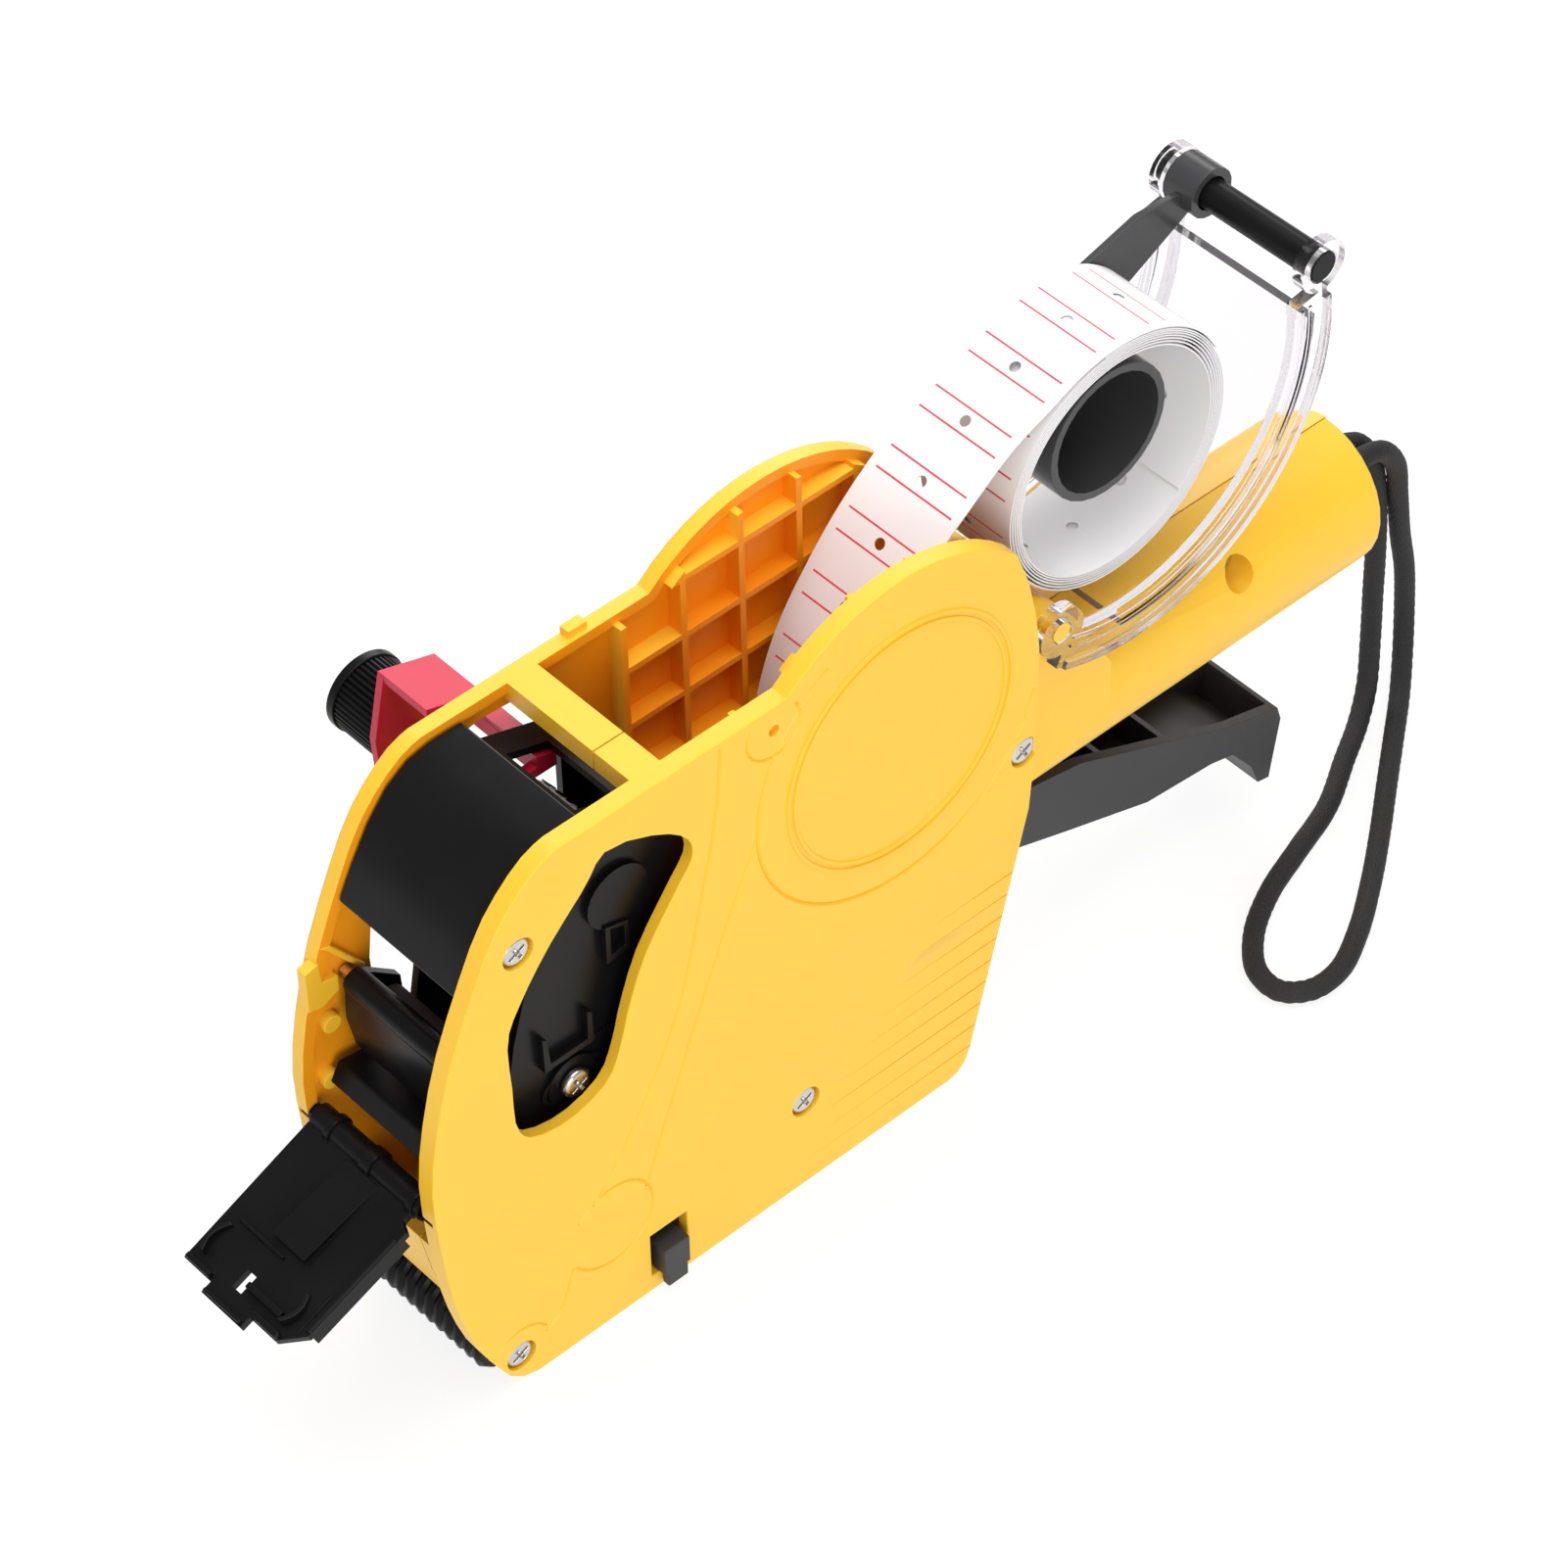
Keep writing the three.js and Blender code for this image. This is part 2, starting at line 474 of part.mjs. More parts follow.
// ---- loading flap ----
function flapSolid() {
  const { length, near, far, thick } = flap;
  const outline = new THREE.Shape([
    [1.9, far], [length + 0.4, far - 0.6], [length + 0.4, -near + 4], [length - 3.6, -near], [5, -near],
    [4, -near + 2], [1.9, -near + 2],
  ].map(([u, v]) => new THREE.Vector2(u, v)));
  const sheet = solid(new THREE.ExtrudeGeometry(outline, { depth: thick, bevelEnabled: false })
    .translate(0, 0, -thick / 2));
  const ramp = new THREE.Shape([[2.5, 0], [19.2, 0], [19.2, thick / 2 + 1.5], [2.5, thick / 2 + 0.2]]
    .map(([u, v]) => new THREE.Vector2(u, v)));
  const pad = solid(new THREE.ExtrudeGeometry(ramp, { depth: 8, bevelEnabled: false })
    .rotateX(Math.PI / 2).translate(0, 3.2, 0));
  const skirt = box(6, length - 4, -near, -near + 1.3, -3, 0);
  const slot = box(length - 5, length - 1.4, 0.4, 2.6, -3, 3);
  const endTab = box(length - 1, length + 2.6, -3.8, 6.2, -thick / 2, thick / 2);
  const barrel = rod(0, 0, flap.barrelR, -far + 0.2, far - 0.2, 18);
  const turned = union(sheet, pad, skirt, endTab, barrel).subtract(slot)
    .subtract(rod(0, 0, flap.pinR + gap, -half, half, 16));
  return turned.rotate([0, 180, 0]).mirror([0, 0, 1]).rotate([0, -flap.droop, 0])
    .translate([flap.x, 0, flap.z]);
}
add('front_flap', flapSolid(), black);
add('flap_hinge_pin', rod(flap.x, flap.z, flap.pinR, -pinHalf, pinHalf, 16), black);

// ---- label path: guide plate, feed wheel, applicator roller ----
function guide() {
  const slope = [[-49, 16.6], [24, 26.8], [24, 28.6], [-49, 18.4]];
  const floor = slab(slope, -stripHalf - 1, stripHalf + 1);
  const fence = [[-49, 16.6], [24, 26.8], [24, 31], [-49, 20.8]];
  return union(floor, pair(fence, stripHalf + 0.6, stripHalf + 1.6),
    pair([[-30, 19.3], [20, 26.3], [20, 28.9], [-30, 21.9]], stripHalf + 1, inner - 0.3));
}
add('label_guide', guide(), black);

function feedWheel() {
  const points = Array.from({ length: 2 * feed.teeth }, (_, i) =>
    polar(feed, i % 2 ? feed.r - 1.4 : feed.r, 180 * i / feed.teeth));
  return slab(points, -8, 8).subtract(rod(feed.x, feed.z, axleR + gap, -9, 9, 16));
}
add('feed_wheel', feedWheel(), black);
add('feed_wheel_axle', rod(feed.x, feed.z, axleR, -pinHalf, pinHalf, 16), steel);

function ridgedRoller() {
  const halfLength = inner - 2;
  const pitch = 2 * halfLength / roller.ridges;
  const low = roller.r - roller.ridgeDepth;
  const profile = [new THREE.Vector2(axleR + gap, -halfLength)];
  for (let i = 0; i < roller.ridges; i += 1) {
    const y = -halfLength + i * pitch;
    profile.push(new THREE.Vector2(low, y), new THREE.Vector2(roller.r, y + pitch / 3));
    profile.push(new THREE.Vector2(roller.r, y + 2 * pitch / 3));
  }
  profile.push(new THREE.Vector2(low, halfLength), new THREE.Vector2(axleR + gap, halfLength));
  profile.push(profile[0].clone());
  return solid(new THREE.LatheGeometry(profile, 12).translate(roller.x, 0, roller.z));
}
add('applicator_roller', ridgedRoller(), black);
add('applicator_axle', rod(roller.x, roller.z, axleR, -inner + 1.6, half - 1.4, 16), steel);

const { x0: slotFront, x1: slotRear, z0: slotLow } = catchSlot;
add('base_catch', union(
  box(slotFront + 1.2, slotRear - 1.2, -half - 2, -inner + 2, slotLow + 0.4, slotLow + 6.8),
  box(slotFront + 1.8, slotRear - 1.8, -half - 2, -half - gap, 1, slotLow + 6.8)), black);

// ---- label cover, open behind the hump ----
const coverCentre = (() => {
  const [x, z] = polar(cover, coverArc.bandIn, cover.lean);
  return { x, z };
})();
const [barX, barZ] = polar(coverCentre, bar.reach, bar.angle);

function coverSolid() {
  const pivotAngle = cover.lean + 180;
  const start = pivotAngle - 360 + 3;
  const cheekBand = band(coverCentre, coverArc.bandIn, coverArc.bandOut, start, coverEnds.cheek, 20);
  const bend = band(coverCentre, coverArc.wallIn, coverArc.wallOut,
    coverEnds.wallLow, coverEnds.wallHigh, 16);
  const sides = [-1, 1].map((side) => {
    const y0 = side < 0 ? -coverOut : coverIn;
    return union(slab(cheekBand, y0, y0 + cheek), rod(cover.x, cover.z, cover.ear, y0, y0 + cheek, 20),
      rod(barX, barZ, bar.bossR, y0, y0 + cheek, 20))
      .subtract(rod(cover.x, cover.z, cover.studR + gap, y0 - 1, y0 + cheek + 1, 16))
      .subtract(rod(barX, barZ, bar.r + gap, y0 - 1, y0 + cheek + 1, 16));
  });
  return union(sides, slab(bend, -coverIn - 0.5, coverIn + 0.5));
}
add('label_cover', coverSolid(), clear);

add('cover_bar', rod(barX, barZ, bar.r, -half + 0.2, half - 0.2, 18), black);

// ---- roll holder: sleeve on the bar, arm behind the roll and a cup that the roll hangs on ----
function rollHolder() {
  const sleeve = tube(barX, barZ, bar.r + gap, bar.r + 1.9, armFace - 3, neckHalf - gap, 18);
  const arm = slab([
    [barX - 4.2, barZ + 0.5], [barX - 1, barZ - 4], [hub.x + 12, hub.z - 4], [hub.x + 2, hub.z - 12],
    [hub.x - 10, hub.z - 7], [hub.x - 12, hub.z + 3], [hub.x - 4, hub.z + 12], [hub.x + 12, hub.z + 12],
    [barX - 14, barZ + 1],
  ], armFace, armFace + armThick);
  const cup = tube(hub.x, hub.z, hub.r - hub.wall, hub.r, -stripHalf, armFace + armThick, 28)
    .add(rod(hub.x, hub.z, hub.r - 1, armFace - 2, armFace + armThick, 28));
  return union(sleeve, arm, cup).subtract(rod(barX, barZ, bar.r + gap, -half, half, 18));
}
add('roll_holder', rollHolder(), black);

const hang = roll.inner - hub.r - gap;
const rollCentre = { x: hub.x + 0.28 * hang, z: hub.z - 0.96 * hang };
add('label_roll',
  tube(rollCentre.x, rollCentre.z, roll.inner, roll.outer, -stripHalf, stripHalf, 40), paper);

// ---- free strip from the roll down into the body ----
function strip() {
  const leave = roll.outer + gap + stripThick;
  const route = [
    polar(rollCentre, leave, 98), polar(rollCentre, leave, 112), polar(rollCentre, leave + 0.3, 126),
    [66.5, 130], [57.5, 123.5], [48.5, 116], [40.5, 107], [33.5, 96.5], [29, 83.5], [27, 66], [24, 48],
    [17, 34], [14.5, 28.6],
  ];
  const middle = new THREE.SplineCurve(vectors(route)).getPoints(36);
  return slab(thicken(middle, -stripThick / 2, stripThick / 2), -stripHalf, stripHalf);
}
add('label_strip', strip(), paper);

// ---- wrist cord: out of the handle's end, down to the surface, a loop on it and back ----
const cordRoute = [
  [153.5, 2.3, 64], [159, 2.4, 64.4], [164.5, 2.2, 62], [168, 1.6, 55.5], [169.3, 1, 46], [169.4, 0.4, 35],
  [169.2, 0, 24], [168.4, -1, 13], [165.6, -3.4, 5.2], [159.6, -7.2, 2.3], [151, -12, 2.1],
  [140, -18.2, 2.1], [128, -22.2, 2.1], [117, -26, 2.1], [107.6, -31.4, 2.1], [102, -37.8, 2.1],
  [101.6, -43.6, 2.1],
  [105.8, -47.2, 2.1], [112.6, -47.4, 2.1], [121.6, -43.4, 2.1], [132, -36.7, 2.1], [142, -29.4, 2.1],
  [151.8, -21.8, 2.1], [161.4, -14.4, 2.1], [170.4, -7.4, 2.5], [176.6, -2, 6.6], [178.6, 0.2, 14.5],
  [177.4, 0, 25], [174.8, -0.4, 36], [172.6, -1, 47], [170.2, -1.8, 56.5], [165.5, -2.3, 62.6],
  [159.5, -2.4, 64.4], [153.5, -2.3, 64],
];

function cordTube() {
  const path = new THREE.CatmullRomCurve3(cordRoute.map(([x, y, z]) => new THREE.Vector3(x, y, z)));
  const section = new THREE.Shape(Array.from({ length: 8 }, (_, i) =>
    new THREE.Vector2(cordR * Math.cos(i * Math.PI / 4), cordR * Math.sin(i * Math.PI / 4))));
  return solid(new THREE.ExtrudeGeometry(section, { steps: 66, extrudePath: path, bevelEnabled: false }));
}
add('wrist_cord', cordTube(), cord);

export default group;
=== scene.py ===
"""Looks of a price labeling gun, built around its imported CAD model.

Sizes are in millimetres, as in the CAD source; the workbench turns them into metres.
"""

import logging
import math
from dataclasses import dataclass
from enum import Enum
from typing import Callable, Iterable, Sequence

import bmesh
import bpy
from mathutils import Euler, Matrix, Vector

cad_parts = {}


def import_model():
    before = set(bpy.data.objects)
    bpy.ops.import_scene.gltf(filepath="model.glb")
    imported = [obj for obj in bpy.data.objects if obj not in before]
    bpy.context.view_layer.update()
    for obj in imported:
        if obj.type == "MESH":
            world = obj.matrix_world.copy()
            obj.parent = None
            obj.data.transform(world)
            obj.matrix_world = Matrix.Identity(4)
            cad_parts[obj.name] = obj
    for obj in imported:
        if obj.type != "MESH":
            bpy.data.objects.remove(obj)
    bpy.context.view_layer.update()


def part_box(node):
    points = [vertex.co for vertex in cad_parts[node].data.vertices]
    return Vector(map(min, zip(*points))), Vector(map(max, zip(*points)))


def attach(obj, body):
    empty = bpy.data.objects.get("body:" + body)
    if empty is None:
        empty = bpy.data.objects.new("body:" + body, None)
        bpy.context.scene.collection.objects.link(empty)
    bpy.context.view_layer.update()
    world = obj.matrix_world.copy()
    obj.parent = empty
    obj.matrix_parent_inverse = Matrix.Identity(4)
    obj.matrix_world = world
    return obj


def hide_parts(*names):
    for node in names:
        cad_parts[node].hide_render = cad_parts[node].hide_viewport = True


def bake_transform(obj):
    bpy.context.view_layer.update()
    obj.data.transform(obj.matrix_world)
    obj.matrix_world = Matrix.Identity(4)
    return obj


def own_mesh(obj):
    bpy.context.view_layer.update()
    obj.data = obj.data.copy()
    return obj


Point = tuple[float, float]
Point3 = tuple[float, float, float]
Colour = tuple[float, float, float]

LOG = logging.getLogger("labeling_gun")
MM = 0.001
TAU = 2 * math.pi


class Side(Enum):
    """The two halves of the case, by the sign of their place across the width."""

    NEAR = -1
    FAR = 1


# ---------------------------------------------------------------- workbench


def deselect() -> None:
    """Leave no object selected and none in edit mode."""
    if bpy.context.object and bpy.context.object.mode != "OBJECT":
        bpy.ops.object.mode_set(mode="OBJECT")
    bpy.ops.object.select_all(action="DESELECT")


def take(piece: bpy.types.Object) -> None:
    """Make one piece the only selected one and the active one."""
    deselect()
    piece.select_set(True)
    bpy.context.view_layer.objects.active = piece


def named(name: str) -> bpy.types.Object:
    """Give the newest primitive its name, and put its place in its mesh."""
    piece = bpy.context.object
    piece.name = name
    piece.data.name = name
    take(piece)
    bpy.ops.object.transform_apply(location=True, rotation=True, scale=True)
    return piece


def block(name: str, low: Point3, high: Point3) -> bpy.types.Object:
    """Add a block between two corners.

    Args:
        name: the piece's name.
        low: its lowest corner.
        high: its highest corner.

    Returns:
        The new mesh object.
    """
    deselect()
    centre = [(a + b) / 2 * MM for a, b in zip(low, high)]
    size = [(b - a) * MM for a, b in zip(low, high)]
    bpy.ops.mesh.primitive_cube_add(size=1, location=centre, scale=size)
    return named(name)


def rod(name: str, at: Point, r: float, y0: float, y1: float, sides: int = 40) -> bpy.types.Object:
    """Add a cylinder whose axis runs across the width.

    Args:
        name: the piece's name.
        at: its axis's place as (x, z).
        r: its radius.
        y0: one end.
        y1: the other end.
        sides: how many flats it has.

    Returns:
        The new mesh object.
    """
    deselect()
    bpy.ops.mesh.primitive_cylinder_add(
        vertices=sides, radius=r * MM, depth=abs(y1 - y0) * MM,
        location=(at[0] * MM, (y0 + y1) / 2 * MM, at[1] * MM), rotation=(math.pi / 2, 0, 0),
    )
    return named(name)


def bead_ring(name: str, at: Point, r: float, bead: float, y: float, sides: int = 96) -> bpy.types.Object:
    """Add a round bead bent to a circle that lies in a side-view plane.

    Args:
        name: the bead's name.
        at: the circle's centre as (x, z).
        r: the circle's radius.
        bead: the bead's own radius.
        y: where the circle lies across the width.
        sides: how many steps the circle has.

    Returns:
        The new mesh object.
    """
    deselect()
    bpy.ops.mesh.primitive_torus_add(
        major_radius=r * MM, minor_radius=bead * MM, major_segments=sides, minor_segments=10,
        location=(at[0] * MM, y * MM, at[1] * MM), rotation=(math.pi / 2, 0, 0),
    )
    return named(name)


def plate(name: str, outline: Sequence[Point], y0: float, y1: float) -> bpy.types.Object:
    """Add a plate with a side-view outline.

    Args:
        name: the piece's name.
        outline: its corners as (x, z).
        y0: where one face lies across the width.
        y1: where the other face lies.

    Returns:
        The new mesh object, its faces pointing outwards.
    """
    deselect()
    bpy.ops.mesh.primitive_circle_add(vertices=len(outline), radius=1, fill_type="NGON")
    piece = bpy.context.object
    for vertex, (x, z) in zip(piece.data.vertices, outline):
        vertex.co = (x * MM, y0 * MM, z * MM)
    bpy.ops.object.mode_set(mode="EDIT")
    bpy.ops.mesh.select_all(action="SELECT")
    bpy.ops.mesh.extrude_region_move(TRANSFORM_OT_translate={"value": (0, (y1 - y0) * MM, 0)})
    bpy.ops.mesh.select_all(action="SELECT")
    bpy.ops.mesh.normals_make_consistent(inside=False)
    bpy.ops.object.mode_set(mode="OBJECT")
    return named(name)


def modify(piece: bpy.types.Object, kind: str, **settings: object) -> bpy.types.Object:
    """Add a modifier and apply it at once.

    Args:
        piece: the mesh object.
        kind: Blender's name for the kind of modifier.
        settings: the modifier's settings by name.

    Returns:
        The same object.
    """
    take(piece)
    modifier = piece.modifiers.new(kind, kind)
    for key, value in settings.items():
        setattr(modifier, key, value)
    bpy.ops.object.modifier_apply(modifier=modifier.name)
    return piece


def cut(piece: bpy.types.Object, *tools: bpy.types.Object) -> bpy.types.Object:
    """Take each tool's shape out of a piece, and remove the tool.

    Args:
        piece: the mesh object.
        tools: the shapes to take out.

    Returns:
        The same object.
    """
    for tool in tools:
        modify(piece, "BOOLEAN", operation="DIFFERENCE", solver="EXACT", object=tool)
        bpy.data.objects.remove(tool)
    return piece


def fuse(piece: bpy.types.Object, *others: bpy.types.Object) -> bpy.types.Object:
    """Join each other shape to a piece as one closed body.

    Args:
        piece: the mesh object.
        others: the shapes to join, which are used up.

    Returns:
        The same object.
    """
    for other in others:
        modify(piece, "BOOLEAN", operation="UNION", solver="EXACT", object=other)
        bpy.data.objects.remove(other)
    return piece


def gather(name: str, parts: Iterable[bpy.types.Object]) -> bpy.types.Object:
    """Put several meshes in one object, each still a closed body of its own.

    Args:
        name: the new object's name.
        parts: the meshes.

    Returns:
        The one object.
    """
    parts = list(parts)
    take(parts[0])
    for part in parts[1:]:
        part.select_set(True)
    if len(parts) > 1:
        bpy.ops.object.join()
    piece = bpy.context.object
    piece.name = name
    piece.data.name = name
    return piece


def smooth(piece: bpy.types.Object, angle: float = 38) -> bpy.types.Object:
    """Shade a piece smooth, apart from its sharp edges.

    Args:
        piece: the mesh object.
        angle: edges sharper than this, in degrees, stay sharp.

    Returns:
        The same object.
    """
    take(piece)
    bpy.ops.object.shade_smooth_by_angle(angle=math.radians(angle))
    return piece


def soften(piece: bpy.types.Object, width: float, segments: int = 2, angle: float = 32) -> bpy.types.Object:
    """Round a piece's sharp edges and shade it smooth.

    Args:
        piece: the mesh object.
        width: how far from the edge the rounding starts.
        segments: how many facets the rounding has.
        angle: edges sharper than this, in degrees, are rounded.

    Returns:
        The same object.
    """
    modify(
        piece, "BEVEL", width=width * MM, segments=segments, limit_method="ANGLE",
        angle_limit=math.radians(angle), use_clamp_overlap=True,
    )
    smooth(piece)
    return settle_normals(piece)


FLAT_COSINE = 0.99998
AREA_POWER = 1.5


def settle_normals(piece: bpy.types.Object, angle: float = 38) -> bpy.types.Object:
    """Let large flat regions keep their own normal, so that only the rounding beside them looks curved.

    Args:
        piece: the mesh object, shaded smooth.
        angle: faces turned further apart than this, in degrees, don't share a normal.

    Returns:
        The same object.
    """
    mesh = bmesh.new()
    mesh.from_mesh(piece.data)
    mesh.faces.ensure_lookup_table()
    region = [-1] * len(mesh.faces)
    areas: list[float] = []
    for face in mesh.faces:
        if region[face.index] >= 0:
            continue
        region[face.index] = len(areas)
        pending, area = [face], 0.0
        while pending:
            at = pending.pop()
            area += at.calc_area()
            for edge in at.edges:
                for other in edge.link_faces:
                    if region[other.index] < 0 and other.normal.dot(at.normal) > FLAT_COSINE:
                        region[other.index] = len(areas)
                        pending.append(other)
        areas.append(area)
    least = math.cos(math.radians(angle))
    normals = []
    for face in mesh.faces:
        for loop in face.loops:
            total, seen = Vector(), set()
            for other in loop.vert.link_faces:
                group = region[other.index]
                if group not in seen and other.normal.dot(face.normal) > least:
                    seen.add(group)
                    total += other.normal * areas[group] ** AREA_POWER
            normals.append(total.normalized() if total.length > 0 else face.normal.copy())
    mesh.free()
    piece.data.normals_split_custom_set(normals)
    return piece


def copy_node(node: str, name: str) -> bpy.types.Object:
    """Copy a CAD node as one clean closed mesh to work on.

    Args:
        node: the CAD node's name.
        name: the new piece's name.

    Returns:
        The new mesh object.
    """
    mesh = bpy.data.objects[node].data.copy()
    mesh.name = name
    mesh.materials.clear()
    piece = bpy.data.objects.new(name, mesh)
    bpy.context.scene.collection.objects.link(piece)
    take(piece)
    bpy.ops.object.mode_set(mode="EDIT")
    bpy.ops.mesh.select_all(action="SELECT")
    bpy.ops.mesh.remove_doubles(threshold=0.02 * MM)
    bpy.ops.mesh.dissolve_limited(angle_limit=math.radians(1.0))
    bpy.ops.object.mode_set(mode="OBJECT")
    return piece


def round_where(
    piece: bpy.types.Object, width: float, segments: int, wanted: Callable[[Vector, Vector], bool]
) -> None:
    """Round the sharp edges that a test picks.

    Args:
        piece: the mesh object.
        width: how far from the edge the rounding starts.
        segments: how many facets the rounding has.
        wanted: says from an edge's two ends, in millimetres, whether it is rounded.
    """
    take(piece)
    bpy.ops.object.mode_set(mode="EDIT")
    bpy.ops.mesh.select_mode(type="EDGE")
    bpy.ops.mesh.select_all(action="DESELECT")
    mesh = bmesh.from_edit_mesh(piece.data)
    for edge in mesh.edges:
        edge.select = (
            len(edge.link_faces) == 2
            and edge.calc_face_angle(0) > math.radians(30)
            and wanted(edge.verts[0].co / MM, edge.verts[1].co / MM)
        )
    mesh.select_flush_mode()
    bmesh.update_edit_mesh(piece.data)
    bpy.ops.mesh.bevel(offset=width * MM, segments=segments, profile=0.5, clamp_overlap=True)
    bpy.ops.mesh.select_mode(type="VERT")
    bpy.ops.object.mode_set(mode="OBJECT")


def spline(points: Sequence[Sequence[float]], per_span: int) -> list[Vector]:
    """Points on the smooth curve through the given ones.

    Args:
        points: the points that it passes through.
        per_span: how many steps there are between two of them.

    Returns:
        The points in order, both ends included.
    """
    known = [Vector(p) for p in points]
    known = [2 * known[0] - known[1], *known, 2 * known[-1] - known[-2]]
    found: list[Vector] = []
    for p0, p1, p2, p3 in zip(known, known[1:], known[2:], known[3:]):
        a, b, c = (max((q - p).length, 1e-9) ** 0.5 for p, q in ((p0, p1), (p1, p2), (p2, p3)))
        out = (a * a * p2 - b * b * p0 + (2 * a * a + 3 * a * b + b * b) * p1) / (3 * a * (a + b))
        back = (c * c * p1 - b * b * p3 + (2 * c * c + 3 * c * b + b * b) * p2) / (3 * c * (c + b))
        for step in range(per_span):
            t = step / per_span
            s = 1 - t
            found.append(s**3 * p1 + 3 * s * s * t * out + 3 * s * t * t * back + t**3 * p2)
    found.append(known[-2])
    return found


def groove(name: str, line: Sequence[Point], width: float, y: float) -> bpy.types.Object:
    """Add a diamond-section bar along a side-view line, to cut a V groove or stand as a ridge.

    Args:
        name: the tool's name.
        line: the points that it follows, as (x, z).
        width: how wide the bar is.
        y: where its middle lies across the width.

    Returns:
        The new mesh object.
    """
    points = [Vector(p) for p in line]
    sides: list[list[Point3]] = []
    for i, point in enumerate(points):
        along = (points[min(i + 1, len(points) - 1)] - points[max(i - 1, 0)]).normalized()
        across = Vector((-along.y, along.x)) * width / 2
        left, right = point + across, point - across
        sides.append([
            (left.x, y, left.y), (point.x, y + width / 2, point.y),
            (right.x, y, right.y), (point.x, y - width / 2, point.y),
        ])
    return tube_of(name, sides)


def tube_of(name: str, sections: Sequence[Sequence[Point3]]) -> bpy.types.Object:
    """Add a closed solid skinned over sections.

    Args:
        name: the piece's name.
        sections: the sections in order, each with the same count of points, in millimetres.

    Returns:
        The new mesh object, its faces pointing outwards.
    """
    count = len(sections[0])
    mesh = bpy.data.meshes.new(name)
    vertices = [[c * MM for c in p] for section in sections for p in section]
    faces = []
    for start in range(0, (len(sections) - 1) * count, count):
        for j in range(count):
            after = (j + 1) % count
            faces.append((start + j, start + after, start + count + after, start + count + j))
    faces += [tuple(range(count)), tuple(range(len(vertices) - count, len(vertices)))]
    mesh.from_pydata(vertices, [], faces)
    piece = bpy.data.objects.new(name, mesh)
    bpy.context.scene.collection.objects.link(piece)
    take(piece)
    bpy.ops.object.mode_set(mode="EDIT")
    bpy.ops.mesh.select_all(action="SELECT")
    bpy.ops.mesh.normals_make_consistent(inside=False)
    bpy.ops.object.mode_set(mode="OBJECT")
    return piece


def circle_line(at: Point, r: float, start: float, end: float, steps: int) -> list[Point]:
    """Points along an arc.

    Args:
        at: the arc's centre as (x, z).
        r: its radius.
        start: its first angle, in degrees.
        end: its last angle, in degrees.
        steps: how many steps it is drawn in.

    Returns:
        The points in order, both ends included.
    """
    angles = [math.radians(start + (end - start) * i / steps) for i in range(steps + 1)]
    return [(at[0] + r * math.cos(a), at[1] + r * math.sin(a)) for a in angles]


# ---------------------------------------------------------------- finishes


